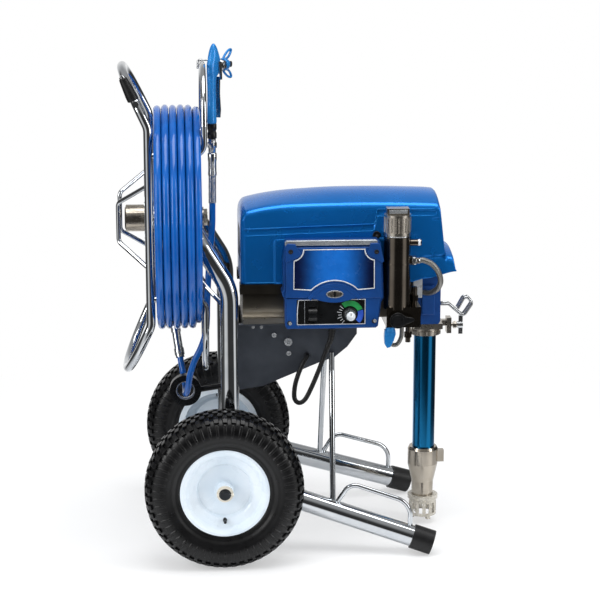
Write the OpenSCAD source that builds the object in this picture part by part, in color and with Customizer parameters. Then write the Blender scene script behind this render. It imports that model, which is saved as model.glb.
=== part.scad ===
// Airless paint sprayer on a two-wheel cart, with a hose reel and a parked spray gun.
// Built in cart coordinates: X forward from the axle, Y to the left, Z up from the floor.
// The finished model is shifted so that its origin is the middle of its footprint.

/* [Wheels] */
// Outer diameter of the pneumatic tyres
tyre_d = 330; // [310:1:350]
// Width of a tyre
tyre_w = 100; // [84:1:104]
// Distance between the tyre mid-planes
track = 480; // [474:1:540]
// Diameter over the rim flanges
rim_d = 184; // [160:1:200]
// Diameter of the axle
axle_d = 20; // [16:0.5:22]
// Length of a wheel hub
hub_len = 76; // [60:1:80]

/* [Skid legs] */
// Diameter of the leg tubes
leg_d = 44.5; // [38:0.5:46]
// Length of a leg from the axle to the end of its foot cap
leg_len = 465; // [420:1:520]
// Clearance between a tyre and the leg tube next to it, at the axle
leg_gap = 21.75; // [20:0.25:30]
// How far each leg splays outwards
leg_splay = 8; // [7:0.5:8.5]
// Wall of the leg and upright tubes
tube_wall = 2.5; // [1.5:0.1:3]
// Diameter of the rubber foot caps
cap_d = 52; // [49:0.5:60]
// Length of a foot cap
cap_len = 45; // [30:1:60]
// Rod of the step loops over the legs
step_d = 10; // [8:0.5:12]
// Clear height of a step loop over its leg
step_h = 46; // [30:1:60]
// Diameter of the frame struts
strut_d = 12; // [10:0.5:14]

/* [Frame] */
// Diameter of the upright tubes
upright_d = 38; // [32:0.5:40]
// How far each upright stands outside the axis of its leg
upright_out = 2; // [0:0.5:3]
// Place of the uprights ahead of the axle
upright_x = 16; // [12:1:17]
// Angle by which the upper part leans back
lean = 32; // [28:0.5:34]
// Height at which the lean starts
lean_z = 566; // [556:1:576]
// Bend radius where the lean starts
lean_r = 100; // [70:1:120]
// Corner radius where each upright turns into the top bar
top_r = 55; // [45:1:70]
// Diameter of the cross bars
bar_d = 25; // [20:0.5:28]

/* [Reel] */
// Height of the reel axis
reel_z = 690; // [680:1:700]
// Plane of the outer reel loop
loop_x = -146; // [-152:1:-144]
// Plane of the inner reel loops
guide_x = -32; // [-34:1:-30]
// Half width of the reel loops
loop_y = 125; // [115:1:130]
// Tube of the outer loop
loop_d = 19; // [16:0.5:22]
// Rod of the inner loops and core bars
guide_d = 12.7; // [10:0.1:14]
// Distance from the reel axis to the tips of the loops
loop_reach = 330; // [310:1:340]
// Angle by which the ends of the outer loop flare out
flare = 25; // [15:0.5:30]
// Height of the core bars over the reel axis
core_z = 150; // [146:1:152]
// Diameter of the hub plate
plate_d = 130; // [128:1:150]
// Diameter of the reel axle
spindle_d = 22; // [18:0.5:24]
// Diameter of the swivel housing
swivel_d = 57; // [48:1:64]
// Length of the swivel housing
swivel_len = 42; // [34:1:44]

/* [Hose] */
// Outer diameter of the main hose
hose_d = 15.5; // [14:0.1:15.8]
// Outer diameter of the whip hose
whip_d = 13.5; // [11:0.1:14]
// Turns side by side in each of the two layers
coil_turns = 6; // [4:1:6]
// Distance between neighbouring turns
coil_pitch = 16.25; // [16.2:0.01:16.3]

/* [Motor and drive] */
// Diameter of the motor housing
motor_d = 160; // [140:1:164]
// Height of the motor shaft
motor_z = 515; // [510:1:520]
// Length of the motor housing
motor_len = 190; // [180:1:195]
// Diameter of the motor shaft
shaft_d = 16; // [12:0.5:18]
// Distance of the chassis side plates from the middle
chassis_y = 80; // [76:1:84]
// Sheet thickness of the chassis
sheet = 3; // [2:0.1:3.5]
// Place of the pump axis ahead of the axle
pump_x = 445; // [442:1:450]
// Outer diameter of the pump cylinder
pump_d = 48; // [44:0.5:52]
// Bore of the pump cylinder
pump_bore = 36; // [32:0.5:38]
// Diameter of the displacement rod
rod_d = 22; // [18:0.5:24]
// Lowest point of the pump
pump_low = 12; // [8:1:20]
// Stroke of the pump
stroke = 24; // [16:1:24]

/* [Shroud and controls] */
// Length of the shroud
shroud_len = 412; // [405:1:416]
// Half width of the shroud
shroud_y = 95; // [92:1:98]
// Height of the crown of the shroud
shroud_top = 751; // [740:1:758]
// Wall of the shroud
shroud_wall = 3; // [2.5:0.1:4]
// Distance of the control box face from the middle
box_y = 150; // [146:1:156]
// Width of the control box
box_w = 212; // [208:1:216]
// Height of the control box
box_h = 190; // [186:1:194]
// Diameter of the pressure knob
knob_d = 20; // [16:0.5:22]
// Length of the pressure knob
knob_len = 25; // [18:0.5:28]
// Diameter of the filter housing
filter_d = 56; // [50:1:60]
// Diameter of the pail hook wire
hook_d = 6; // [5:0.5:7]

/* [Gun] */
// Length of the gun handle
handle_len = 104; // [96:1:108]
// Width of the gun handle
handle_w = 21; // [18:0.5:22]
// How far the gun is turned about the upright axis
gun_turn = 62; // [60:1:66]

/* [Hidden] */
$fn = 64;
// Clearance between a shaft and its bush, on the radius
run = 0.05;
// Gap between bodies that must not touch
gap = 0.3;
// Small step past a face that a cut goes through
over = 1;

// Places that follow from the sizes above
gun_x = -12.8;
barrel_rise = 14;
hang_rise = 14.8;
neck_len = 62;
hang_z = reel_z + loop_reach + gap + 2.5;
gun_low = hang_z - hang_rise - barrel_rise - handle_len - neck_len;
axle_z = tyre_d / 2;
leg_y = track / 2 - tyre_w / 2 - leg_gap - leg_d / 2;
upright_y = leg_y + upright_out;
foot_flat = 1.2;
leg_tilt = asin((axle_z + foot_flat) / norm([leg_len, cap_d / 2])) - atan2(cap_d / 2, leg_len);
lean_dir = [-sin(lean), 0, cos(lean)];
lean_run = (reel_z - lean_z) / cos(lean);
top_x = upright_x - (reel_z - lean_z) * tan(lean);
guard_x = loop_x - 65;
guard_d = 9.5;
hook_tip_x = pump_x + 103;
back_x = guard_x - guard_d / 2;
x_mid = (back_x + hook_tip_x) / 2;
axle_end = track / 2 + hub_len / 2 + 12;

// ---------- helpers ----------

function unit(v) = v / norm(v);
function turn(u, v) = acos(max(-1, min(1, u * v)));
function side_of(w) = unit(cross(w, abs(w[2]) < 0.9 ? [0, 0, 1] : [1, 0, 0]));
function arc(c, r, a0, a1, n) = [
    for (i = [0 : n]) c + r * [cos(a0 + (a1 - a0) * i / n), sin(a0 + (a1 - a0) * i / n)]
];
function flip(points) = [for (i = [len(points) - 1 : -1 : 0]) [points[i][0], -points[i][1]]];

module frame_at(x, y, z, t) {
    multmatrix([
        [x[0], y[0], z[0], t[0]],
        [x[1], y[1], z[1], t[1]],
        [x[2], y[2], z[2], t[2]],
        [0, 0, 0, 1]
    ]) children();
}

module straight(a, b, d) {
    w = unit(b - a);
    s = side_of(w);
    frame_at(s, cross(w, s), w, a) cylinder(h = norm(b - a), d = d);
}

// A round rod through corner points, with one bend radius for each corner; each straight
// reaches a little way into the bends next to it
module rod(points, radii, d, closed = false) {
    $fn = 32;
    lap = 0.05;
    n = len(points);
    runs = closed ? n : n - 1;
    dirs = [for (i = [0 : runs - 1]) unit(points[(i + 1) % n] - points[i])];
    bent = [for (i = [0 : n - 1]) closed || (i > 0 && i < n - 1)];
    shift = closed ? 0 : 1;
    before = [for (i = [0 : n - 1]) dirs[(i + runs - 1) % runs]];
    trims = [
        for (i = [0 : n - 1])
            bent[i] ? radii[i - shift] * tan(turn(before[i], dirs[i]) / 2) - lap : 0
    ];
    for (i = [0 : runs - 1])
        straight(
            points[i] + dirs[i] * trims[i],
            points[(i + 1) % n] - dirs[i] * trims[(i + 1) % n],
            d
        );
    for (i = [0 : n - 1])
        if (bent[i]) {
            r = radii[i - shift];
            u = before[i];
            v = dirs[i];
            axis = unit(cross(u, v));
            inward = cross(axis, u);
            frame_at(-inward, u, axis, points[i] - u * (trims[i] + lap) + inward * r)
                rotate_extrude(angle = turn(u, v), $fn = r > 60 ? 72 : 36)
                    translate([r, 0]) circle(d = d - 0.03, $fn = 32);
        }
}

// Turns a shape drawn about Z so that its axis lies along Y or X
module along_y() {
    rotate([-90, 0, 0]) children();
}
module along_x() {
    rotate([0, 90, 0]) children();
}

// Extrudes a profile drawn in X and Z across the cart
module across(y0, y1) {
    translate([0, y1, 0]) rotate([90, 0, 0]) linear_extrude(height = y1 - y0) children();
}

// A faceted tube along a smooth line through route points, with flat ends
function catmull(p, i, t) =
    let (
        n = len(p),
        a = p[max(i - 1, 0)],
        b = p[i],
        c = p[min(i + 1, n - 1)],
        d = p[min(i + 2, n - 1)]
    )
    0.5 * (2 * b + (c - a) * t + (2 * a - 5 * b + 4 * c - d) * t * t
        + (3 * b - a - 3 * c + d) * t * t * t);
function smooth_route(p, steps) = [
    each [for (i = [0 : len(p) - 2]) for (k = [0 : steps - 1]) catmull(p, i, k / steps)],
    p[len(p) - 1]
];
function route_dir(p, i) = unit(p[min(i + 1, len(p) - 1)] - p[max(i - 1, 0)]);
function sides_along(p, i, s) =
    i >= len(p) ? [] : let (
        w = route_dir(p, i),
        flat = unit(s - w * (s * w))
    ) [flat, each sides_along(p, i + 1, flat)];
module swept_tube(p, d, sides) {
    flats = sides_along(p, 0, side_of(route_dir(p, 0)));
    last = (len(p) - 1) * sides;
    points = [
        for (i = [0 : len(p) - 1])
            let (w = route_dir(p, i), x = flats[i], y = cross(w, x))
            for (k = [0 : sides - 1])
                p[i] + d / 2 * (x * cos(360 * k / sides) + y * sin(360 * k / sides))
    ];
    quads = [
        for (i = [0 : len(p) - 2]) for (k = [0 : sides - 1])
            let (a = i * sides + k, b = i * sides + (k + 1) % sides)
            each [[a, a + sides, b + sides], [a, b + sides, b]]
    ];
    ends = [
        for (k = [1 : sides - 2]) each [[0, k, k + 1], [last, last + k + 1, last + k]]
    ];
    polyhedron(points, [each quads, each ends], convexity = 10);
}
function cord_line(first, p, last, steps) = [first, each smooth_route(p, steps), last];
function route_length(p) =
    len(p) < 2 ? 0 : norm(p[1] - p[0]) + route_length([for (i = [1 : len(p) - 1]) p[i]]);

// ---------- wheels ----------

// Half of the tyre section, from the bead to the crown; first value is the radius
tyre_half = [
    [rim_d / 2 - 3.7, 29],
    [rim_d / 2 + 0.3, 33],
    [rim_d / 2 + 0.3, 34.5],
    [rim_d / 2 + 5, 37],
    each arc([tyre_d / 2 - 36, tyre_w / 2 - 30], 30, 120, 35, 8),
    each arc([tyre_d / 2 - 13, tyre_w / 2 - 24], 9, 50, 10, 3),
    [tyre_d / 2 - 1.5, tyre_w / 2 - 34],
    [tyre_d / 2, 6]
];

module tyre(side) {
    color("#26272a")
    translate([0, side * track / 2, axle_z]) along_y()
    difference() {
        rotate_extrude($fn = 128) polygon([
            each tyre_half,
            each flip(tyre_half),
            [rim_d / 2 - 2, -24],
            [rim_d / 2 + 20, -tyre_w / 2 + 16],
            [tyre_d / 2 - 16, -tyre_w / 2 + 22],
            [tyre_d / 2 - 16, tyre_w / 2 - 22],
            [rim_d / 2 + 20, tyre_w / 2 - 16],
            [rim_d / 2 - 2, 24]
        ]);
        for (s = [-1, 1])
            translate([0, 0, s * 14]) rotate_extrude($fn = 128)
                translate([tyre_d / 2 - 5, -3]) square([8, 6]);
    }
}

hub_d = 37;
bush_d = 28;
module rim(side) {
    barrel = rim_d / 2 - 12;
    color("#dbe6f2")
    translate([0, side * track / 2, axle_z]) rotate([side * -90, 0, 0])
    difference() {
        union() {
            rotate_extrude($fn = 128) polygon([
                [rim_d / 2 - 12, -36],
                [rim_d / 2, -36],
                [rim_d / 2, -33],
                [rim_d / 2 - 4, -29],
                [barrel + 3, -24],
                [barrel + 1, -12],
                [barrel + 1, 12],
                [barrel + 3, 24],
                [rim_d / 2 - 4, 29],
                [rim_d / 2, 33],
                [rim_d / 2, 36],
                [rim_d / 2 - 5, 37],
                [rim_d / 2 - 12, 34],
                [barrel - 6, 26],
                [barrel - 18, 20],
                [58, 17],
                [54, 10],
                [22, 8],
                [hub_d / 2 - 1, 10],
                [hub_d / 2 - 1, 5],
                [54, 5],
                [58, 13],
                [barrel - 16, 15],
                [barrel - 3, 19],
                [barrel - 3, -24]
            ]);
            translate([0, 0, -hub_len / 2]) cylinder(h = hub_len, d = hub_d);
        }
        translate([0, 0, -hub_len / 2 - over]) cylinder(h = hub_len + 2 * over, d = bush_d);
        translate([0, -62, 10]) cylinder(h = 12, d = 8.4);
    }
}

module wheel_bushes(side) {
    color("#b9a98a")
    translate([0, side * track / 2, axle_z]) along_y()
    for (s = [-1, 1])
        translate([0, 0, s * (hub_len / 2 - 10)]) difference() {
            union() {
                cylinder(h = 20, d = bush_d - 0.04, center = true);
                translate([0, 0, s * 10 - (s < 0 ? 2 : 0)]) cylinder(h = 2, d = bush_d + 6);
            }
            cylinder(h = 30, d = axle_d + 2 * run, center = true);
        }
}

module valve_stem(side) {
    color("#1d1d1f")
    translate([0, side * track / 2, axle_z]) rotate([side * -90, 0, 0])
    translate([0, -62, 11]) {
        cylinder(h = 13, d = 8);
        translate([0, 0, 13]) cylinder(h = 12, d = 6);
    }
}

module axle() {
    color("silver")
    translate([0, 0, axle_z]) along_y()
    difference() {
        cylinder(h = 2 * axle_end, d = axle_d, center = true);
        for (s = [-1, 1])
            translate([0, 0, s * (axle_end - 5)]) along_x() cylinder(h = 40, d = 4, center = true);
    }
}

module axle_retainers() {
    translate([0, 0, axle_z]) along_y()
    for (s = [-1, 1]) {
        translate([0, 0, s * (axle_end - 8.6) - 1]) difference() {
            cylinder(h = 2, d = axle_d + 12);
            translate([0, 0, -over]) cylinder(h = 4, d = axle_d + 0.1);
        }
        translate([0, 0, s * (axle_end - 5)]) along_x() {
            cylinder(h = axle_d + 12, d = 3.9, center = true);
            translate([0, 0, axle_d / 2 + 5]) cylinder(h = 3, d = 7);
        }
    }
}

// ---------- skid legs ----------

// Places a child at a point along a leg, its Z axis along the leg
module on_leg(side, at) {
    translate([0, side * leg_y, axle_z]) rotate([0, 0, side * leg_splay])
        rotate([0, 90 + leg_tilt, 0]) translate([0, 0, at]) children();
}

leg_back = 30;
module leg_solid(side, d) {
    on_leg(side, -leg_back) cylinder(h = leg_len + leg_back - 4, d = d);
}

module skid_leg(side) {
    color("#dfe3e8")
    difference() {
        leg_solid(side, leg_d);
        on_leg(side, 60) cylinder(h = leg_len, d = leg_d - 2 * tube_wall);
        translate([0, side * leg_y, axle_z]) along_y()
            cylinder(h = 3 * leg_d, d = axle_d + 0.2, center = true);
    }
}

module foot_caps() {
    color("#18181a")
    difference() {
        for (side = [-1, 1])
            on_leg(side, leg_len - cap_len) difference() {
                cylinder(h = cap_len, d = cap_d);
                translate([0, 0, -over]) cylinder(h = cap_len - 4 + over, d = leg_d + 0.1);
            }
        translate([0, 0, -10]) linear_extrude(height = 10) square(2 * (leg_len + track), center = true);
    }
}

module axle_tube() {
    color("#dfe3e8")
    difference() {
        translate([0, 0, axle_z]) along_y() difference() {
            cylinder(h = track - hub_len - 4 - 2 * gap, d = 32, center = true);
            cylinder(h = track, d = axle_d + 0.2, center = true);
        }
        for (side = [-1, 1]) {
            leg_solid(side, leg_d);
            translate([upright_x, side * upright_y, axle_z]) cylinder(h = 60, d = upright_d);
        }
    }
}

// Start and end of a step loop, measured along the leg
step_from = 246;
step_to = leg_len - cap_len - 10;
module step_loops() {
    color("#dfe3e8")
    difference() {
        for (side = [-1, 1])
            on_leg(side, 0) rod([
                [-leg_d / 2 + 6, 0, step_from],
                [-leg_d / 2 - step_h, 0, step_from + 14],
                [-leg_d / 2 - step_h, 0, step_to - 16],
                [-leg_d / 2 + 6, 0, step_to]
            ], [26, 40], step_d);
        for (side = [-1, 1]) leg_solid(side, leg_d);
    }
}

// ---------- frame ----------

strut_at = 244;
strut_top = [234, chassis_y + sheet + strut_d / 2, 412];
function leg_point(side, at) = [
    at * cos(leg_tilt) * cos(leg_splay),
    side * (leg_y + at * cos(leg_tilt) * sin(leg_splay)),
    axle_z - at * sin(leg_tilt)
];
module frame_struts() {
    color("#dfe3e8")
    difference() {
        for (side = [-1, 1]) {
            top = [strut_top[0], side * strut_top[1], strut_top[2]];
            rod([leg_point(side, strut_at), top - [0, 0, 34], top], [60], strut_d);
        }
        for (side = [-1, 1]) leg_solid(side, leg_d);
    }
}

housing_d = 60;
bearing_d = spindle_d + 8;
bearing_x0 = -119;
bearing_x1 = -38;
module upright_path(d, extra) {
    foot = [upright_x, 0, axle_z];
    knee = [upright_x, 0, lean_z];
    top = [top_x, 0, reel_z];
    side = [0, upright_y, 0];
    rod([foot - side, knee - side, top - side, top + side, knee + side, foot + side],
        [lean_r, top_r, top_r, lean_r], d);
}

module frame_uprights() {
    color("#dfe3e8")
    difference() {
        union() {
            difference() {
                upright_path(upright_d);
                upright_path(upright_d - 2 * tube_wall);
            }
            for (z = [318, 452])
                translate([upright_x, 0, z]) along_y() difference() {
                    cylinder(h = 2 * upright_y - upright_d + 6, d = bar_d, center = true);
                }
            translate([bearing_x0, 0, reel_z]) along_x()
                cylinder(h = bearing_x1 - bearing_x0, d = housing_d);
            rod([
                [upright_x - 14, -upright_y + 12, lean_z - 36],
                [upright_x - 46, -upright_y + 44, lean_z - 6],
                [top_x + 4, -upright_y + 60, lean_z + 26],
                [top_x, -60, reel_z - upright_d / 2 + 4]
            ], [30, 30], 10);
        }
        translate([bearing_x0 - over, 0, reel_z]) along_x()
            cylinder(h = bearing_x1 - bearing_x0 + 2 * over, d = bearing_d);
        for (side = [-1, 1]) leg_solid(side, leg_d);
    }
}

// ---------- chassis and motor ----------

chassis_x0 = upright_x + bar_d / 2;
shroud_x0 = 42;
chassis_top = 476;
chassis_low = [
    [chassis_x0, 330],
    [54, 334],
    [89, 339],
    [212, 390],
    [240, 399],
    [268, 422],
    [288, 450]
];
chassis_x1 = 288;
module chassis() {
    color("#4b4e54")
    difference() {
        union() {
            for (s = [-1, 1])
                across(s * chassis_y - (s < 0 ? sheet : 0), s * chassis_y + (s > 0 ? sheet : 0))
                    polygon([each chassis_low, [chassis_x1, chassis_top], [chassis_x0, chassis_top]]);
            across(-chassis_y - over / 2, chassis_y + over / 2) difference() {
                polygon([each chassis_low, [chassis_x1, chassis_top], [chassis_x0, chassis_top]]);
                translate([sheet, 0]) polygon([
                    [chassis_x0, chassis_top + over],
                    each [for (p = chassis_low) p + [0, sheet * 1.1]],
                    [chassis_x1 + over, chassis_top + over]
                ]);
            }
            for (s = [-1, 1])
                translate([chassis_x0, s * (chassis_y + 7) - 7, chassis_top - sheet])
                    cube([chassis_x1 - chassis_x0, 14, sheet]);
        }
        for (s = [-1, 1]) for (p = bolt_places)
            translate([p[0], s * (chassis_y + sheet / 2), p[1]]) along_y()
                cylinder(h = 2 * sheet, d = p[2], center = true);
    }
}

// X, Z and shank diameter of the bolts in each side plate
bolt_places = [[112, 450, 6], [142, 435, 10], [143, 410, 6], [68, 468, 4], [85, 468, 4]];
module fasteners() {
    color("#c9cacc") {
        axle_retainers();
        chassis_bolts();
        box_screws();
    }
}

module chassis_bolts() {
    for (s = [-1, 1]) for (p = bolt_places)
        translate([p[0], s * (chassis_y + sheet), p[1]]) rotate([s * -90, 0, 0]) {
            translate([0, 0, -sheet - 4]) cylinder(h = sheet + 4, d = p[2] - 0.1);
            difference() {
                cylinder(h = p[2] * 0.55, d = p[2] * 1.7);
                translate([0, 0, p[2] * 0.25]) cylinder(h = p[2], d = p[2] * 0.85, $fn = 6);
            }
        }
}

motor_x0 = shroud_x0 + shroud_wall + 1;
motor_x1 = motor_x0 + motor_len;
ledge_low = 541;
shroud_low = 562;
module motor_housing() {
    color("#a9a294")
    difference() {
        union() {
            translate([motor_x0, 0, motor_z]) along_x() cylinder(h = motor_len, d = motor_d);
            for (s = [-1, 1]) {
                translate([motor_x0, s * chassis_y - 12, chassis_top]) cube([motor_len - 60, 24, 12]);
                translate([motor_x0 - 6, s * (shroud_y - 16) - 16, ledge_low])
                    cube([motor_len + 2, 32, shroud_low - ledge_low]);
            }
        }
        translate([motor_x0 + 8, 0, motor_z]) along_x()
            cylinder(h = motor_len - 16, d = motor_d - 16);
        translate([motor_x0 - over, 0, motor_z]) along_x()
            cylinder(h = motor_len + 2 * over, d = shaft_d + 2 * run);
        for (k = [0 : 11])
            translate([motor_x0 - over, 0, motor_z]) rotate([30 * k, 0, 0])
                translate([0, 0, 44]) along_x() cylinder(h = 12, d = 12);
    }
}

pinion_teeth = 12;
gear_teeth = 36;
gear_module = 2;
gear_rise = gear_module * (pinion_teeth + gear_teeth) / 2;
function gear_outline(teeth, m, slack) = [
    for (k = [0 : teeth - 1]) each [
        for (q = [[-0.30, -1.2], [-0.15, 0.8], [0.15, 0.8], [0.30, -1.2]])
            let (a = 360 * (k + q[0]) / teeth, r = m * (teeth / 2 + q[1]) - slack)
            [r * cos(a), r * sin(a)]
    ]
];
gear_x0 = motor_x1 + 26;
gear_w = 12;
case_x0 = motor_x1 + 4;
case_x1 = pump_x - 36;
module gear_wheel(teeth, shift) {
    rotate([0, 0, shift]) linear_extrude(height = gear_w)
        polygon(gear_outline(teeth, gear_module, 0.25));
}

module motor_rotor() {
    color("#8d8f94")
    translate([0, 0, motor_z]) {
        translate([motor_x0 + 2, 0, 0]) along_x()
            cylinder(h = gear_x0 + gear_w - motor_x0 - 2, d = shaft_d);
        translate([motor_x0 + 70, 0, 0]) along_x() cylinder(h = motor_len - 110, d = motor_d - 44);
        translate([motor_x0 + 20, 0, 0]) along_x() {
            cylinder(h = 14, d = 44);
            for (k = [0 : 8])
                rotate([0, 0, 40 * k]) translate([18, -1.5, 0]) cube([48, 3, 14]);
        }
        translate([gear_x0, 0, 0]) along_x() gear_wheel(pinion_teeth, 0);
    }
}

// The middle shaft of the reduction, above the motor shaft
module gear_cluster() {
    color("#6f7176")
    translate([gear_x0, 0, motor_z + gear_rise]) along_x() {
        gear_wheel(gear_teeth, 180 / gear_teeth);
        translate([0, 0, gear_w + 8]) gear_wheel(pinion_teeth, 0);
        translate([0, 0, -8]) cylinder(h = 2 * gear_w + 24, d = 16);
    }
}

crank_x0 = gear_x0 + gear_w + 8;
crank_d = 22;
pin_d = 12;
module crank_gear() {
    color("#6f7176")
    translate([crank_x0, 0, motor_z]) along_x() {
        gear_wheel(gear_teeth, 180 / gear_teeth);
        cylinder(h = drive_x0 + 14 - crank_x0, d = crank_d);
        translate([0, 0, drive_x0 + 10 - crank_x0]) cylinder(h = 10, d = stroke + pin_d + 4);
        translate([-stroke / 2, 0, drive_x0 + 18 - crank_x0]) cylinder(h = 30, d = pin_d);
    }
}

case_y = 48;
case_low = motor_z - 42;
case_top = motor_z + gear_rise + 44;
module gear_case() {
    cave = gear_module * gear_teeth + 8;
    color("#7b756b")
    difference() {
        union() {
            translate([motor_x1, 0, motor_z]) along_x() cylinder(h = 10, d = motor_d);
            translate([case_x0, -case_y, case_low]) cube([70, 2 * case_y, case_top - case_low]);
            translate([case_x0, -case_y, case_low + 4])
                cube([case_x1 - case_x0, 2 * case_y, 78]);
        }
        for (z = [motor_z, motor_z + gear_rise])
            translate([gear_x0 - 3, 0, z]) along_x() cylinder(h = 2 * gear_w + 14, d = cave);
        translate([motor_x1 - over, 0, motor_z]) along_x()
            cylinder(h = 60, d = shaft_d + 2 * run);
        translate([gear_x0 - 9, 0, motor_z + gear_rise]) along_x()
            cylinder(h = 2 * gear_w + 26, d = 16 + 2 * run);
        translate([crank_x0, 0, motor_z]) along_x()
            cylinder(h = case_x1 - crank_x0 + over, d = crank_d + 2 * run);
    }
}

drive_x0 = case_x1;
drive_x1 = pump_x + 27;
drive_top = 566;
drive_low = 458;
drive_y = 42;
drive_wall = 7;
module drive_housing() {
    color("#2a4da0")
    difference() {
        across(-drive_y, drive_y) polygon([
            [drive_x0, drive_low + 14],
            [drive_x0 + 14, drive_low],
            [drive_x1 - 4, drive_low],
            [drive_x1, drive_low + 6],
            [drive_x1, drive_top - 16],
            [drive_x1 - 8, drive_top],
            [drive_x0, drive_top]
        ]);
        translate([drive_x0 + 8, drive_wall - drive_y, drive_low + 5])
            cube([drive_x1 - drive_x0 - 14, 2 * (drive_y - drive_wall), drive_top - drive_low - 9]);
        translate([drive_x0 - over, 0, motor_z]) along_x() cylinder(h = 12, d = crank_d + 2 * run);
        translate([pump_x, 0, drive_low - over]) cylinder(h = 10, d = rod_d + 2 * run);
    }
}

// ---------- pump ----------

cyl_top = drive_low - 24;
clamp_low = cyl_top + 12;
cyl_low = 172;
valve_low = 57;
module connecting_rod() {
    fork_z = motor_z - stroke - pin_d / 2 - 0.4;
    fork_y = stroke / 2 + pin_d / 2 + 0.4;
    color("#b7b9bd")
    translate([pump_x, 0, 0]) {
        translate([0, 0, cyl_low + 60]) cylinder(h = fork_z - 4 - cyl_low - 60, d = rod_d);
        translate([0, 0, cyl_low + 46]) cylinder(h = 26, d = pump_bore - 2 * run);
        translate([-9, -fork_y - 6, fork_z - 8]) cube([18, 2 * fork_y + 12, 8]);
        for (s = [-1, 1])
            translate([-9, s * (fork_y + 3) - 3, fork_z - 4]) cube([18, 6, stroke + pin_d + 14]);
    }
}

module pump_cylinder() {
    color("#1f5b93")
    translate([pump_x, 0, 0]) difference() {
        translate([0, 0, cyl_low]) cylinder(h = cyl_top - cyl_low, d = pump_d);
        translate([0, 0, cyl_low - over])
            cylinder(h = cyl_top - cyl_low + 2 * over, d = pump_bore);
    }
}

module pump_clamp() {
    color("#8c8577")
    translate([pump_x, 0, 0]) {
        difference() {
            union() {
                translate([0, 0, clamp_low]) linear_extrude(height = drive_low - clamp_low) difference() {
                    union() {
                        circle(d = 74);
                        translate([-33, -40]) square([66, 80]);
                    }
                    for (s = [-1, 1]) translate([-33, s * 40]) circle(d = 16);
                }
                translate([0, 0, cyl_top - 3]) cylinder(h = clamp_low - cyl_top + 3, d = pump_d + 14);
                translate([0, 0, cyl_top - 5]) cylinder(h = 9, d = pump_d + 20);
            }
            translate([0, 0, cyl_top - 6]) cylinder(h = 6, d = pump_d + 0.06);
            translate([0, 0, cyl_top - 6]) cylinder(h = 60, d = rod_d + 2 * run);
            for (k = [0 : 11])
                rotate([0, 0, 30 * k]) translate([pump_d / 2 + 10.5, 0, cyl_top - 6])
                    cylinder(h = 11, d = 5, $fn = 24);
        }
        translate([32, -8, clamp_low]) cube([16, 16, drive_low - clamp_low]);
        translate([46, -12, clamp_low - 16]) cube([10, 24, 34]);
        translate([56, 0, clamp_low]) along_x() {
            cylinder(h = 22, d = 8);
            translate([0, 0, 5]) cylinder(h = 7, d = 16, $fn = 6);
        }
    }
}

// The wing nut that locks the pump
module clamp_wing() {
    translate([pump_x + 70, 0, clamp_low]) along_x() difference() {
        union() {
            cylinder(h = 12, d = 15);
            for (s = [0, 180])
                rotate([0, 0, s]) translate([6, -2.5, 3]) cube([14, 5, 9]);
        }
        translate([0, 0, -over]) cylinder(h = 10, d = 8 + 2 * run);
    }
}

module foot_valve() {
    color("#b3aa98")
    translate([pump_x - 1, 0, 0]) difference() {
        union() {
            rotate_extrude() polygon([
                [0, valve_low],
                [21, valve_low],
                [23, valve_low + 6],
                [24, valve_low + 38],
                [33, valve_low + 78],
                [33, cyl_low - 4],
                [30, cyl_low + 2],
                [0, cyl_low + 2]
            ]);
            translate([20, -8, cyl_low - 34]) cube([26, 16, 26]);
        }
        translate([1, 0, cyl_low]) cylinder(h = 10, d = pump_d + 0.06);
        translate([0, 0, cyl_low - 60]) cylinder(h = 80, d = pump_bore);
        translate([0, 0, valve_low + 30]) cylinder(h = 40, d = 30);
        translate([0, 0, valve_low - over]) cylinder(h = 60, d = 18);
    }
}

ball_d = 22;
module intake_ball() {
    color("#d7d9dc")
    translate([pump_x - 1, 0, valve_low + 30 + ball_d / 2 - 4.6]) sphere(d = ball_d);
}

module suction_strainer() {
    color("#cfc8bc", 0.6)
    translate([pump_x, 0, pump_low]) difference() {
        union() {
            translate([0, 0, valve_low - pump_low - 2]) cylinder(h = 8, d = 66);
            translate([0, 0, 6]) cylinder(h = valve_low - pump_low - 8, d = 60);
            for (k = [0 : 3])
                rotate([0, 0, 90 * k + 20]) translate([22, -4, 0]) cube([8, 8, 10]);
        }
        translate([0, 0, 3]) cylinder(h = valve_low - pump_low - 5, d = 54);
        translate([-1, 0, valve_low - pump_low - 4]) cylinder(h = 12, d = 46.6);
        for (k = [0 : 11])
            rotate([0, 0, 30 * k + 15]) translate([24, -4, 12]) cube([12, 8, valve_low - pump_low - 22]);
    }
}

// ---------- shroud ----------

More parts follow.
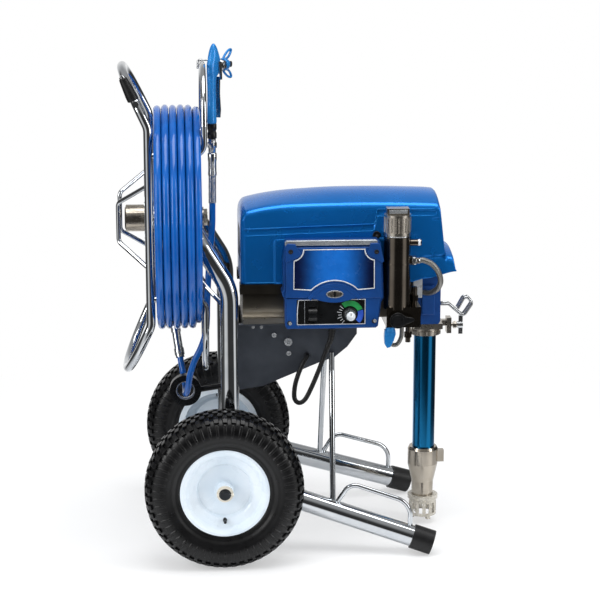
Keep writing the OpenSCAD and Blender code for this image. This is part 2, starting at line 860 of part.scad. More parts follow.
shroud_x1 = shroud_x0 + shroud_len;
shroud_skirt = shroud_x1 + 36;
skirt_top = shroud_low + 71;
function shroud_side(inset) = [
    [shroud_x0 + inset, shroud_low - (inset > 0 ? over : 0)],
    each arc([shroud_x0 + 24, shroud_top - 44], 24 - inset, 180, 120, 6),
    [shroud_x0 + 60, shroud_top - 12 - inset],
    [shroud_x0 + 110, shroud_top - 5 - inset],
    [shroud_x0 + 200, shroud_top - inset],
    [shroud_x0 + 300, shroud_top - inset],
    [shroud_x1 - 14, shroud_top - 5 - inset],
    [shroud_x1 - inset, shroud_top - 14 - inset],
    [shroud_x1 + 12 - inset, skirt_top],
    [shroud_x1 + 28 - inset, skirt_top - 6 - inset],
    [shroud_skirt - inset, shroud_low + 12 - (inset > 0 ? 12 + over : 0)],
    [shroud_x1 - 60, shroud_low - (inset > 0 ? over : 0)]
];
function shroud_end(inset) = [
    [shroud_y - inset, shroud_low - 2 * over],
    [shroud_y - inset, shroud_top - 40],
    each arc([shroud_y - 18, shroud_top - 34], 18 - inset, 0, 68, 8),
    [0, shroud_top - inset],
    [-shroud_y + 18 - (18 - inset) * cos(68), shroud_top - 34 + (18 - inset) * sin(68)],
    each arc([-shroud_y + 18, shroud_top - 34], 18 - inset, 112, 180, 8),
    [-shroud_y + inset, shroud_top - 40],
    [-shroud_y + inset, shroud_low - 2 * over]
];
module shroud_body(inset) {
    intersection() {
        across(-shroud_y - over, shroud_y + over) polygon(shroud_side(inset));
        translate([shroud_x0 - over, 0, 0]) rotate([90, 0, 90])
            linear_extrude(height = shroud_len + 60) polygon(shroud_end(inset));
    }
}
module shroud() {
    groove = 15;
    step_x = shroud_x0 + 318;
    color("#1b57ab")
    difference() {
        shroud_body(0);
        shroud_body(shroud_wall);
        for (s = [-1, 1])
            across(s * (shroud_y - 1) - 1.5, s * (shroud_y - 1) + 1.5) polygon([
                [shroud_x0 + 4, shroud_top - 86],
                [step_x, shroud_top - 74],
                [step_x + 6, shroud_top - 48],
                [shroud_x1 - 8, shroud_top - 47],
                [shroud_x1 - 8, shroud_top - 47 + groove],
                [step_x + 2, shroud_top - 48 + groove],
                [step_x - 4, shroud_top - 74 + groove],
                [shroud_x0 + 4, shroud_top - 86 + groove]
            ]);
        for (k = [0 : 5])
            translate([shroud_x0 - over, -48 + 16 * k, shroud_low + 40]) cube([12, 9, shroud_top - shroud_low - 115]);
    }
}

// ---------- controls ----------

box_x0 = 124;
box_z0 = 475;
box_back = shroud_y;
panel_x0 = 156;
panel_x1 = 299;
panel_z0 = 486;
panel_z1 = 539;
panel_y = box_y - 7;
lead_x = 232;
lead_y = -112;
switch_x = 189;
knob_x = 267;
control_z = 507;
module box_outline(inset) {
    translate([box_x0 + inset, box_z0 + 6 + inset]) square([box_w - 2 * inset, box_h - 12 - 2 * inset]);
    translate([box_x0 + 8 + inset, box_z0 + inset]) square([box_w - 16 - 2 * inset, box_h - 2 * inset]);
}
ear_places = [
    [box_x0 + 18, box_z0 + 15],
    [box_x0 + box_w - 17, box_z0 + 18],
    [box_x0 + 18, box_z0 + box_h - 23],
    [box_x0 + box_w - 16, box_z0 + box_h - 23]
];
module control_box() {
    color("#20479b")
    difference() {
        union() {
            across(-box_y + 6, -box_back) box_outline(0);
            across(-box_y, -box_y + 7) box_outline(5);
            across(-box_y - 4, -box_y + over) {
                for (p = ear_places) translate(p) circle(d = 22);
            }
        }
        translate([panel_x0, -box_y - over, panel_z0])
            cube([panel_x1 - panel_x0, 16, panel_z1 - panel_z0]);
        for (p = ear_places)
            translate([p[0], -box_y - 5, p[1]]) along_y() cylinder(h = 60, d = 6.6);
    }
}

module box_screws() {
    for (p = ear_places)
        translate([p[0], -box_y - 1.5, p[1]]) along_y() difference() {
            cylinder(h = 30, d = 6.5);
            translate([0, 0, -over]) cylinder(h = 4, d = 3.4, $fn = 6);
        }
}

module control_panel() {
    color("#0f1012")
    difference() {
        translate([panel_x0 + 0.2, -panel_y, panel_z0 + 0.2])
            cube([panel_x1 - panel_x0 - 0.4, 4, panel_z1 - panel_z0 - 0.4]);
        translate([switch_x - 9 - gap, -panel_y - over, control_z - 16])
            cube([18 + 2 * gap, 8, 32]);
        translate([knob_x, -panel_y - over, control_z]) along_y() cylinder(h = 8, d = 8 + 2 * run);
    }
}

module power_switch() {
    color("#232427")
    translate([switch_x, -panel_y + 3, control_z]) difference() {
        intersection() {
            translate([-9, -16, -15]) cube([18, 16, 30]);
            rotate([0, 90, 0]) cylinder(h = 18, r = 15.5, center = true);
        }
        for (z = [-9 : 6 : 9])
            translate([-10, -17, z - 1]) cube([20, 2.4, 2]);
    }
}

module pressure_knob() {
    color("#c9ccd2")
    translate([knob_x, -panel_y, control_z]) rotate([90, 0, 0]) {
        translate([0, 0, -7]) cylinder(h = 8, d = 8);
        difference() {
            translate([0, 0, gap]) rotate_extrude() polygon([
                [0, 0],
                [knob_d / 2 + 4, 0],
                [knob_d / 2 + 4, 3],
                [knob_d / 2 + 1, 5],
                [knob_d / 2, knob_len - 2],
                [knob_d / 2 - 2, knob_len],
                [0, knob_len]
            ]);
            for (k = [0 : 17])
                rotate([0, 0, 20 * k]) translate([knob_d / 2 + 0.6, 0, 7]) cylinder(h = knob_len, d = 2.2);
        }
    }
}

// ---------- manifold ----------

filter_x = 367;
filter_y = -(shroud_y + filter_d / 2 + 1.5);
block_low = 478;
block_h = 43;
filter_low = block_low + block_h;
cap_drop = 80;
cap_low = shroud_top - cap_drop;
outlet_drop = 56;
outlet_z = cap_low - outlet_drop;
inlet_drop = 36;
inlet_z = drive_top - inlet_drop;
cover_z = block_low + 18;
block_x = filter_x - 24;
module manifold() {
    color("#6e665a")
    difference() {
        union() {
            translate([filter_x, filter_y, filter_low - 6])
                cylinder(h = cap_low - filter_low + 6 - gap, d = filter_d);
            translate([filter_x, filter_y, cap_low - 62]) cylinder(h = 3, d = filter_d + 2);
            translate([block_x, filter_y - 26, block_low]) cube([72, 26 - case_y - filter_y, block_h]);
            translate([filter_x + 20, filter_y, cap_low - 18]) along_x() cylinder(h = 30, d = 13.5);
            translate([filter_x + 20, filter_y, outlet_z]) along_x() cylinder(h = 20, d = 20, $fn = 6);
            translate([filter_x + 34, filter_y, outlet_z]) along_x() cylinder(h = 12, d = 14);
            translate([filter_x + 27, filter_y + 18, block_low - 42]) cylinder(h = 44, d = 11);
            translate([filter_x + 27, filter_y + 18, block_low - 32]) cylinder(h = 12, d = 16, $fn = 6);
            translate([filter_x + 38, filter_y + 6, filter_low - 1]) cylinder(h = 38, d = 12);
            translate([filter_x + 38, filter_y + 6, filter_low + 7]) cylinder(h = 12, d = 17, $fn = 6);
            across(filter_y - 40, filter_y - 25) {
                translate([filter_x - 2, cover_z]) circle(d = 33);
                polygon([
                    [filter_x - 2, cover_z + 16.5],
                    [filter_x + 30, cover_z + 6],
                    [filter_x + 34, cover_z + 2],
                    [filter_x + 30, cover_z - 2],
                    [filter_x - 2, cover_z - 16.5]
                ]);
            }
        }
        translate([filter_x, filter_y, filter_low + 6]) cylinder(h = cap_low - filter_low, d = filter_d - 14);
        translate([valve_x, filter_y - 10, block_low - 8]) cylinder(h = 24, d = 10 + 2 * run);
    }
}

module filter_cap() {
    color("#8d8476")
    translate([filter_x, filter_y, cap_low]) {
        difference() {
            cylinder(h = 43, d = filter_d);
            for (k = [0 : 23])
                rotate([0, 0, 15 * k]) translate([filter_d / 2 + 0.8, 0, 6])
                    cylinder(h = 32, d = 4.4, $fn = 24);
        }
        translate([-23, -14, 42]) cube([46, 28, 14]);
    }
}

module filter_element() {
    color("#d8d8d4")
    translate([filter_x, filter_y, filter_low + 6]) difference() {
        cylinder(h = cap_low - filter_low - 7, d = filter_d - 26);
        translate([0, 0, 4]) cylinder(h = cap_low - filter_low, d = filter_d - 34);
    }
}

valve_x = filter_x - 14;
module prime_valve() {
    color("#1d5fb4")
    translate([valve_x, filter_y - 10, block_low]) {
        translate([0, 0, -8]) cylinder(h = 22, d = 10);
        translate([0, 0, -12]) cylinder(h = 12 - gap, d = 20);
        across(-7, 7) polygon([
            [-12, -8],
            [10, -8],
            [11, -16],
            [7, -30],
            [0, -44],
            [-7, -46],
            [-12, -38],
            [-13, -22]
        ]);
    }
}

braid_x = filter_x + 46;
braid_route = [
    [braid_x + 10, filter_y, outlet_z],
    [braid_x + 28, filter_y + 2, outlet_z - 9],
    [braid_x + 42, filter_y + 6, outlet_z - 27],
    [braid_x + 48, filter_y + 14, inlet_z + 36],
    [braid_x + 44, filter_y + 34, inlet_z + 16],
    [braid_x + 34, filter_y + 54, inlet_z + 4],
    [braid_x + 24, -drive_y - 12, inlet_z]
];
module braided_hose() {
    color("#9a9a98")
    swept_tube(
        cord_line(
            [braid_x, filter_y, outlet_z],
            braid_route,
            [braid_x + 24, -drive_y, inlet_z],
            3
        ), 12, 10
    );
}

drain_z = block_low;
drain_route = [
    [filter_x + 13, filter_y + 12, drain_z - 10],
    [filter_x + 12, filter_y + 13, drain_z - 30],
    [filter_x + 4, filter_y + 15, drain_z - 46],
    [filter_x - 8, filter_y + 16, drain_z - 46],
    [filter_x - 15, filter_y + 17, drain_z - 30],
    [filter_x - 16, filter_y + 18, drain_z - 10]
];
module drain_hose() {
    color("#8f8d88")
    swept_tube(
        cord_line(
            [filter_x + 13, filter_y + 12, drain_z], drain_route,
            [filter_x - 16, filter_y + 18, drain_z], 3
        ), 9, 8
    );
}

lead_route = [
    [lead_x, lead_y, box_z0 - 12],
    [230, -111, 446],
    [222, -110, 425],
    [206, -108, 380],
    [190, -106, 340],
    [176, -105, 313],
    [163, -104, 306],
    [154, -103, 316],
    [155, -102, 342],
    [163, -101, 370],
    [173, -99, 392],
    [181, -94, 405],
    [182, -chassis_y - sheet - 5, 406]
];
module power_lead() {
    color("#17171a")
    swept_tube(
        cord_line([lead_x, lead_y, box_z0], lead_route, [182, -chassis_y - sheet, 406], 3), 10, 8
    );
}

hook_bend = 8;
module pail_hook() {
    color("#c8cbd0")
    for (s = [-1, 1])
        rod([
            [drive_x1, s * 9, 494],
            [pump_x + 50, s * 9, 494],
            [pump_x + 82, s * 9, 466],
            [hook_tip_x - hook_d / 2 + 0.21 * hook_bend, s * 9, 496],
            [pump_x + 86, s * 9, 514],
            [pump_x + 70, s * 9, 484]
        ], [hook_bend, hook_bend, hook_bend, hook_bend], hook_d);
}

// ---------- reel ----------

hub_r = spindle_d / 2 + 8;
flare_len = 126;
flare_from = loop_reach - loop_d / 2 - flare_len * cos(flare);
leg_out = [-sin(flare), 0, cos(flare)];
loop_bend = loop_y - 10;
module outer_loop() {
    tilt_up = [loop_x, 0, reel_z + flare_from];
    tilt_down = [loop_x, 0, reel_z - flare_from];
    tip_up = tilt_up + flare_len * leg_out;
    tip_down = tilt_down + flare_len * [leg_out[0], 0, -leg_out[2]];
    wide = [0, loop_y, 0];
    rod(
        [tilt_up - wide, tip_up - wide, tip_up + wide, tilt_up + wide,
         tilt_down + wide, tip_down + wide, tip_down - wide, tilt_down - wide],
        [40, loop_bend, loop_bend, 40, 40, loop_bend, loop_bend, 40],
        loop_d, true);
}

module reel_frame() {
    color("#dfe3e8")
    difference() {
        union() {
            outer_loop();
            for (s = [-1, 1])
                translate([loop_x, 0, reel_z + s * 56]) along_y()
                    cylinder(h = 2 * loop_y, d = guide_d, center = true);
            translate([loop_x - 11, 0, reel_z]) along_x() cylinder(h = 6, d = plate_d);
            translate([loop_x - 8, 0, reel_z]) along_x()
                cylinder(h = bearing_x0 - loop_x + 8 - 2, d = 2 * hub_r);
            for (s = [-1, 1])
                rod([
                    [loop_x - 2, s * (loop_y - 4), reel_z + 88],
                    [guard_x, s * 67, reel_z + 44],
                    [guard_x, s * 67, reel_z - 38],
                    [loop_x - 2, s * (loop_y - 4), reel_z - 86]
                ], [14, 14], guard_d);
        }
        translate([loop_x - 20, 0, reel_z]) along_x() cylinder(h = 80, d = spindle_d + 0.1);
    }
}

module reel_guides() {
    color("#dfe3e8")
    difference() {
        for (s = [-1, 1])
            rod([
                [loop_x, -loop_y, reel_z + s * core_z],
                [guide_x, -loop_y, reel_z + s * core_z],
                [guide_x, -loop_y, reel_z + s * (loop_reach - guide_d / 2)],
                [guide_x, loop_y, reel_z + s * (loop_reach - guide_d / 2)],
                [guide_x, loop_y, reel_z + s * core_z],
                [loop_x, loop_y, reel_z + s * core_z]
            ], [24, loop_y - 10, loop_y - 10, 24], guide_d);
        for (s = [-1, 1])
            translate([loop_x, s * loop_y, reel_z]) cylinder(h = 400, d = loop_d, center = true);
    }
}

module reel_axle() {
    color("#a79f8e")
    translate([0, 0, reel_z]) {
        translate([loop_x - 12, 0, 0]) along_x()
            cylinder(h = bearing_x1 + 14 - loop_x + 12, d = spindle_d);
        translate([bearing_x1 + gap + 1, 0, 0]) along_x() cylinder(h = 4, d = spindle_d + 22);
        translate([bearing_x1 + gap + 5, 0, 0]) along_x()
            cylinder(h = 8, d = spindle_d + 14, $fn = 6);
        translate([loop_x - 11 - swivel_len, 0, 0]) along_x() rotate_extrude() polygon([
            [0, 0],
            [swivel_d / 2 - 6, 0],
            [swivel_d / 2 - 4, 2],
            [swivel_d / 2 - 1, 2],
            [swivel_d / 2, 3],
            [swivel_d / 2, swivel_len],
            [0, swivel_len]
        ]);
    }
}

module reel_bushes() {
    color("#b9a98a")
    for (s = [0, 1])
        translate([s == 0 ? bearing_x0 : bearing_x1, 0, reel_z]) rotate([0, s == 0 ? 90 : -90, 0])
        difference() {
            union() {
                cylinder(h = 22, d = bearing_d - 0.04);
                translate([0, 0, -1]) cylinder(h = 1, d = bearing_d + 10);
            }
            translate([0, 0, -2]) cylinder(h = 30, d = spindle_d + 2 * run);
        }
}

// ---------- reel crank ----------

grip_len = 50;
grip_at = 56;
grip_y = loop_y - loop_bend + loop_d / 2 + 14
    + sqrt(pow(loop_bend, 2) - pow(grip_at - flare_len + loop_bend, 2));
grip_base = [loop_x, -grip_y, reel_z + flare_from] + grip_at * leg_out;
module on_crank() {
    translate(grip_base) rotate([0, -flare, 0]) children();
}
module crank_arm() {
    color("#c9cacc")
    difference() {
        on_crank() {
            translate([0, 16, 0]) rotate([90, 0, 0]) cylinder(h = 23, d = 13);
            cylinder(h = 4 + grip_len + 10, d = 8);
            translate([0, 0, grip_len + 8 + 2 * gap]) cylinder(h = 3, d = 13);
        }
        outer_loop();
    }
}

module crank_grip() {
    color("#151517")
    on_crank() translate([0, 0, 8 + gap]) difference() {
        rotate_extrude() polygon([
            [0, 0],
            [10.5, 0],
            [12, 2],
            [12, 12],
            [10, 34],
            [8.5, 48],
            [7, 50],
            [0, 50]
        ]);
        translate([0, 0, -over]) cylinder(h = grip_len + 2 * over, d = 8 + 2 * run);
    }
}

// ---------- hoses ----------

coil_rings = 24;
// The flats between rings come nearest to the core bars
coil_inner = (norm([loop_y, core_z]) + guide_d / 2 + hose_d / 2 + 0.6) / cos(180 / coil_rings);
coil_step = coil_pitch + 0.6;
coil_right = guide_x - guide_d / 2 - hose_d / 2 - 0.45;
coil_left = coil_right - coil_pitch * (coil_turns - 1);
total_turns = 2 * coil_turns - 1.1;
// Where the outer end leaves, in degrees below the level of the axis on the left side
leave = 45;

function climb(s) = sqrt(1 - pow(1 - s, 2));
function step_in(s) = sqrt(1 - pow(1 - climb(s), 2));
// Place, radius and angle of the hose after t turns: out over the first layer, up at the
// side, and back over the second layer
function coil_place(t) =
    let (n = coil_turns - 1, u = t - n - 1, k = floor(u + 0.0001), s = max(0, u - k))
    t < n ? [coil_left + coil_pitch * t, coil_inner]
    : t < n + 1 ? [coil_right, coil_inner + coil_step * climb(t - n)]
    : [coil_right - coil_pitch * (k + step_in(s)), coil_inner + coil_step];
function coil_angle(t) = 360 * (total_turns - t) - leave;
function reel_point(x, r, a) = [x, r * cos(a), reel_z + r * sin(a)];
feed_r = 65;
feed_dir = coil_angle(0);
feed_off = asin(feed_r / (coil_inner - feed_r));
feed_reach = sqrt(pow(coil_inner - feed_r, 2) - pow(feed_r, 2));
feed_route = [
    reel_point(coil_left, hub_r + 0.2, feed_dir + feed_off),
    reel_point(coil_left, hub_r + 40, feed_dir + feed_off),
    each [
        for (k = [0 : 7])
            reel_point(coil_left, coil_inner - feed_r, feed_dir)
                + feed_r * [0, cos(feed_dir + (90 + feed_off) * (1 - k / 8)),
                    sin(feed_dir + (90 + feed_off) * (1 - k / 8))]
    ]
];
coil_count = round(coil_rings * total_turns);
turns_route = [
    for (k = [0 : coil_count])
        let (t = total_turns * k / coil_count, q = coil_place(t))
        reel_point(q[0], q[1], coil_angle(t))
];
leave_dir = [0, sin(-leave), -cos(leave)];
coil_end = turns_route[coil_count] + hose_d * leave_dir;
coil_route = [each feed_route, each turns_route, coil_end];

// Least distance between turns, less the hose itself
coil_gap = min([
    for (i = [0 : coil_count - 19])
        min([for (j = [i + 18 : min(coil_count, i + 60)]) norm(turns_route[i] - turns_route[j])])
]) - hose_d;
echo(least_gap_between_turns_mm = coil_gap);

module hose_coil() {
    color("#1f57c4")
    swept_tube(coil_route, hose_d, 6);
}

// Route points of the free hose below the reel, chosen by hand
ring_x = -76;
ring_z = 303;
coupling_from = [-97, 97, 436];
coupling_to = [-86, 68, 366];
tail_route = [
    coil_end + hose_d * leave_dir,
    [-126.5, 128.5, 490],
    [-110, 115, 466],
    coupling_from - 15 * unit(coupling_to - coupling_from)
];
module hose_tail() {
    color("#1f57c4")
    swept_tube(cord_line(
        coil_end + run * leave_dir,
        tail_route,
        coupling_from - run * unit(coupling_to - coupling_from),
        2
    ), hose_d, 8);
}

module hose_coupling() {
    run_dir = unit(coupling_to - coupling_from);
    color("#c9cacc") {
        straight(coupling_from, coupling_to, 19);
        straight(coupling_from + 4 * run_dir, coupling_from + 20 * run_dir, 22);
        straight(coupling_to - 20 * run_dir, coupling_to - 6 * run_dir, 22);
    }
}

guard_to = [gun_x, 0, gun_low - gap];
guard_from = [gun_x - 0.8, -4, guard_to[2] - 108];
guard_dir = unit(guard_to - guard_from);
whip_route = [
    coupling_to + 13 * unit(coupling_to - coupling_from),
    [-80, 50, 334],
    [ring_x, 24, 310],
    [ring_x, 0, ring_z],
    [-74, -24, 309],
    [-70, -46, 330],
    [-66, -58, 360],
    [-55, -61, 393],
    [-42, -60, 420],
    [-32.5, -57, 448],
    [-29, -51, 478],
    [-28, -46, 510],
    [-25, -37, 560],
    [-20, -28, 620],
    [-15, -13, 668],
    guard_from - 14 * guard_dir
];
module whip_hose() {
    color("#1f57c4")
    swept_tube(cord_line(coupling_to, whip_route, [gun_x, 0, gun_low - gap], 3), whip_d, 8);
}

module spring_guard() {
    color("#b9bcc2")
    difference() {
        straight(guard_from, guard_to, whip_d + 3.4);
        straight(guard_from - over * guard_dir, guard_to + over * guard_dir, whip_d + 0.6);
    }
}

module hose_guide() {
    guide_z = ring_z + 8;
    color("#161618") {
        translate([ring_x, 0, guide_z]) along_y() difference() {
            cylinder(h = 20, d = 68, center = true);
            cylinder(h = 22, d = 42, center = true);
            for (s = [-1, 1]) for (k = [0 : 23])
                rotate([0, 0, 15 * k]) translate([23, -1, s * 10 - 1]) cube([9, 2, 2]);
        }
        straight(
            [ring_x + 32, 0, guide_z],
            [upright_x - bar_d / 2 - 0.2, 0, 318],
            12
        );
    }
}

// ---------- gun ----------

handle_low = gun_low + neck_len;
handle_top = handle_low + handle_len;
barrel_z = handle_top + barrel_rise;
gun_top = barrel_z + 48;
module at_gun(z) {
    translate([gun_x, 0, z]) rotate([0, 0, gun_turn]) children();
}
module gun_body() {
    side = [
        [-12.2, handle_low],
        [10, handle_low],
        [12, handle_low + 30],
        [10, handle_top - 14],
        [14, handle_top - 4],
        [34, barrel_z - 12],
        [36, barrel_z + 12],
        [20, barrel_z + 18],
        [8, gun_top - 10],
        [-1, gun_top],
        [-8, gun_top - 4],
        [-12.2, barrel_z + 20]
    ];
    color("#1f6fd0") difference() {
        union() {
            at_gun(0) intersection() {
                across(-14, 14) polygon(side);
                translate([0, 0, handle_low - over]) linear_extrude(height = 200) {
                    circle(d = 24);
                    translate([0, -handle_w / 2]) square([40, handle_w]);
                }
            }
            at_gun(barrel_z) translate([30, 0, 0]) along_x() {
                cylinder(h = 20, d = 20);
                translate([0, 0, 8]) cylinder(h = 12, d = 27, $fn = 6);
            }
            translate([gun_x, 0, handle_low - 34]) cylinder(h = 36, d = 20);
            translate([gun_x, 0, gun_low]) cylinder(h = neck_len - 32, d = 16);
            translate([gun_x, 0, gun_low + 4]) cylinder(h = 14, d = 19, $fn = 6);
            rod([
                [gun_x, 0, hang_z],
                [guide_x - guide_d / 2 - gap - 2.5, 0, hang_z],
                [guide_x - guide_d / 2 - gap - 2.5, 0, hang_z - 18]
            ], [guide_d / 2 + gap + 2.6], 5);
        }
        at_gun(0) for (s = [-1, 1]) across(s * 12 - 1.6, s * 12 + 1.6) {
            translate([1, barrel_z + 4]) circle(d = 12);
            translate([-7, handle_low + 18]) square([14, handle_len - 44]);
        }
    }
}

tip_x = 73;
pivot_x = 16;
pivot_z = barrel_z + 6;
module gun_trigger() {
    color("#c9cacc")
    at_gun(0) {
        across(-9, 9) polygon([
            [18, handle_top - 8],
            [24, handle_top - 8],
            [22, handle_low + 60],
            [26, handle_low + 26],
            [23, handle_low + 10],
            [20, handle_low + 10],
            [22, handle_low + 26],
            [18.5, handle_low + 60]
        ]);
        for (s = [-1, 1])
            across(s * 12.2 - 1.2, s * 12.2 + 1.2) difference() {
                polygon([
                    [18, handle_top - 14],
                    [24, handle_top - 14],
                    [24, handle_top - 4],
                    [pivot_x + 6, pivot_z + 4],
                    [pivot_x - 6, pivot_z + 4],
                    [pivot_x - 6, pivot_z - 6]
                ]);
            }
        for (s = [-1, 1])
            translate([18, s > 0 ? 8 : -13.4, handle_top - 14]) cube([6, 5.4, 6]);
    }
}

module tip_guard() {
    color("#1f6fd0")
    at_gun(barrel_z) difference() {
        union() {
            translate([50 + gap, 0, 0]) along_x() cylinder(h = 14, d = 28);
            translate([62, -10, -10]) cube([20, 20, 20]);
            for (s = [-1, 1])
                across(-9, 9) difference() {
                    polygon([
                        [62, s * 9],
                        [58, s * 14],
                        [84, s * 30],
                        [96, s * 30],
                        [82, s * 9]
                    ]);
                    polygon([[72, s * 15], [86, s * 26], [89, s * 26], [80, s * 14]]);
                }
        }
        translate([tip_x, 0, 0]) along_y() cylinder(h = 40, d = 13 + 2 * run, center = true);
        along_x() cylinder(h = 120, d = 5);
        for (k = [0 : 11])
            rotate([30 * k, 0, 0]) translate([52, 0, 14.4]) along_x() cylinder(h = 14, d = 3, $fn = 24);
    }
}

module spray_tip() {
    color("#c9cfd6")
    at_gun(barrel_z) translate([tip_x, 0, 0]) {
        translate([0, 11, 0]) rotate([90, 0, 0]) cylinder(h = 21, d = 13);
        translate([0, 16, 0]) rotate([90, 0, 0]) cylinder(h = 6, d = 8);
        across(15, 19) polygon([[-5, -5], [8, -5], [17, 0], [8, 5], [-5, 5]]);
    }
}

module cart() {
    translate([-x_mid, 0, 0]) children();
}

cart() axle();
cart() axle_tube();
cart() fasteners();
cart() skid_leg(1);  // skid_leg_left
cart() skid_leg(-1);  // skid_leg_right
cart() foot_caps();
cart() step_loops();
cart() frame_struts();
cart() frame_uprights();
cart() tyre(1);  // tyre_left
cart() tyre(-1);  // tyre_right
cart() rim(1);  // rim_left
cart() rim(-1);  // rim_right
cart() wheel_bushes(1);  // wheel_bushes_left
cart() wheel_bushes(-1);  // wheel_bushes_right
cart() valve_stem(1);  // valve_stem_left
cart() valve_stem(-1);  // valve_stem_right
cart() chassis();
cart() motor_housing();
cart() motor_rotor();
cart() gear_cluster();
cart() crank_gear();
cart() gear_case();
cart() drive_housing();
cart() connecting_rod();
cart() pump_cylinder();
cart() pump_clamp();
cart() clamp_wing();
cart() foot_valve();
cart() intake_ball();
cart() suction_strainer();
cart() shroud();
cart() control_box();
cart() control_panel();
cart() power_switch();
cart() pressure_knob();
cart() power_lead();
cart() manifold();
cart() filter_cap();
cart() filter_element();
cart() braided_hose();
cart() prime_valve();
cart() drain_hose();
cart() pail_hook();
cart() hose_guide();
cart() reel_frame();
cart() reel_guides();
cart() reel_axle();
cart() reel_bushes();
cart() crank_arm();
cart() crank_grip();
cart() hose_coil();
cart() hose_tail();
cart() hose_coupling();
cart() whip_hose();
cart() spring_guard();
cart() gun_body();
cart() gun_trigger();
cart() tip_guard();
cart() spray_tip();
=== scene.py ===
import bpy
import bmesh
import math
from mathutils import Matrix, Vector


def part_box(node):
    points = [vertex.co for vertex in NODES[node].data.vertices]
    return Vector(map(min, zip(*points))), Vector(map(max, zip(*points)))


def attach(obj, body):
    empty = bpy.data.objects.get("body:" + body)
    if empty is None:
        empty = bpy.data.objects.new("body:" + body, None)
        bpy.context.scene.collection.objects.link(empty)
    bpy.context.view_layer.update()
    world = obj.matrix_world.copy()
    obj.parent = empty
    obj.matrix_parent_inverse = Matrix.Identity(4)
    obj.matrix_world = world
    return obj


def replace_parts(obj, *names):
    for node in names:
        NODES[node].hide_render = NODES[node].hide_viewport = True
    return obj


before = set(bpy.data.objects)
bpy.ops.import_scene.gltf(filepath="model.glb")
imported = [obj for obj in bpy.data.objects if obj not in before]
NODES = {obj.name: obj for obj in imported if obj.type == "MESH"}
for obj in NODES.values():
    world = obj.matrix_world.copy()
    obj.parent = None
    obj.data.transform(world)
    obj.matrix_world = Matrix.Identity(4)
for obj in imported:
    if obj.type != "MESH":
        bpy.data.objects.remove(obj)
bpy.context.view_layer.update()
axle_low, axle_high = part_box("axle")
AXLE_X = (axle_low.x + axle_high.x) / 2
AXLE_Z = 0.165


def at(x, y, z):
    """A point given in millimetres from the axle, as a point of the frame."""
    return Vector((AXLE_X + x / 1000, y / 1000, z / 1000))


def colour(code):
    parts = [int(code[i:i + 2], 16) / 255 for i in (1, 3, 5)]
    return tuple(c / 12.92 if c <= 0.04045 else ((c + 0.055) / 1.055) ** 2.4 for c in parts) + (1.0,)


# ---------- camera ----------

right = Vector((0.99756, -0.06976, 0.0))
up = Vector((0.01534, 0.21931, 0.97552))
back = Vector((-0.06805, -0.97315, 0.21985))
camera = bpy.data.objects.new("camera", bpy.data.cameras.new("camera"))
bpy.context.scene.collection.objects.link(camera)
camera.data.sensor_width = 36
camera.data.lens = 111.04
target = at(172.9, 0, 506.1)
distance = 3.987
camera.matrix_world = (Matrix.Translation(target + distance * back)
                       @ Matrix((right, up, back)).transposed().to_4x4())
camera.data.clip_end = 200
bpy.context.scene.camera = camera


# ---------- materials ----------

class Nodes:
    """A short way to build a node tree."""

    def __init__(self, tree):
        self.tree = tree

    def add(self, kind, *values, **settings):
        """A new node with its settings, and its inputs fed in order."""
        node = self.tree.nodes.new(kind)
        for key, value in settings.items():
            setattr(node, key, value)
        for socket, value in zip(node.inputs, values):
            self.feed(socket, value)
        return node

    def feed(self, socket, value):
        """Set a socket to a constant, or link an output to it."""
        if isinstance(value, (int, float, tuple)):
            socket.default_value = value
        else:
            self.tree.links.new(value, socket)

    def math(self, operation, *values, **settings):
        return self.add("ShaderNodeMath", *values, operation=operation, **settings).outputs[0]

    def vector(self, operation, *values):
        node = self.add("ShaderNodeVectorMath", *values, operation=operation)
        return node.outputs["Value" if operation == "LENGTH" else "Vector"]

    def split(self, vector):
        return self.add("ShaderNodeSeparateXYZ", vector).outputs

    def remap(self, value, low, high, to_low, to_high, kind="LINEAR"):
        return self.add("ShaderNodeMapRange", value, low, high, to_low, to_high,
                        clamp=True, interpolation_type=kind).outputs[0]

    def mix(self, factor, a, b):
        node = self.add("ShaderNodeMix", data_type="RGBA")
        for i, value in ((0, factor), (6, a), (7, b)):
            self.feed(node.inputs[i], value)
        return node.outputs[2]

    def ramp(self, value, stops):
        """A colour ramp through stops of (place, colour)."""
        node = self.add("ShaderNodeValToRGB", value)
        elements = node.color_ramp.elements
        while len(elements) < len(stops):
            elements.new(0.5)
        for element, (place, shade) in zip(elements, stops):
            element.position = place
            element.color = shade
        return node.outputs[0]


class Tree(Nodes):
    """The node tree of a new material."""

    def __init__(self, name):
        self.material = bpy.data.materials.new(name)
        self.material.use_nodes = True
        super().__init__(self.material.node_tree)
        self.shader = self.tree.nodes["Principled BSDF"]
        self.where = self.add("ShaderNodeTexCoord").outputs["Object"]

    def noise(self, scale, detail=3.0, stretch=None):
        node = self.add("ShaderNodeTexNoise")
        place = self.where
        if stretch:
            mapping = self.add("ShaderNodeMapping")
            self.feed(mapping.inputs["Scale"], stretch)
            self.feed(mapping.inputs["Vector"], place)
            place = mapping.outputs["Vector"]
        for socket, value in (("Scale", scale), ("Detail", detail), ("Roughness", 0.5), ("Vector", place)):
            self.feed(node.inputs[socket], value)
        return node.outputs[0]

    def bump(self, height, strength, distance):
        node = self.add("ShaderNodeBump")
        for socket, value in (("Strength", strength), ("Distance", distance), ("Height", height)):
            self.feed(node.inputs[socket], value)
        return node.outputs[0]

    def put(self, name, value):
        self.feed(self.shader.inputs[name], value)

    def uneven(self, scale, low, high, detail=4):
        """A value that drifts between two bounds over the surface."""
        return self.remap(self.noise(scale, detail), 0.3, 0.7, low, high)


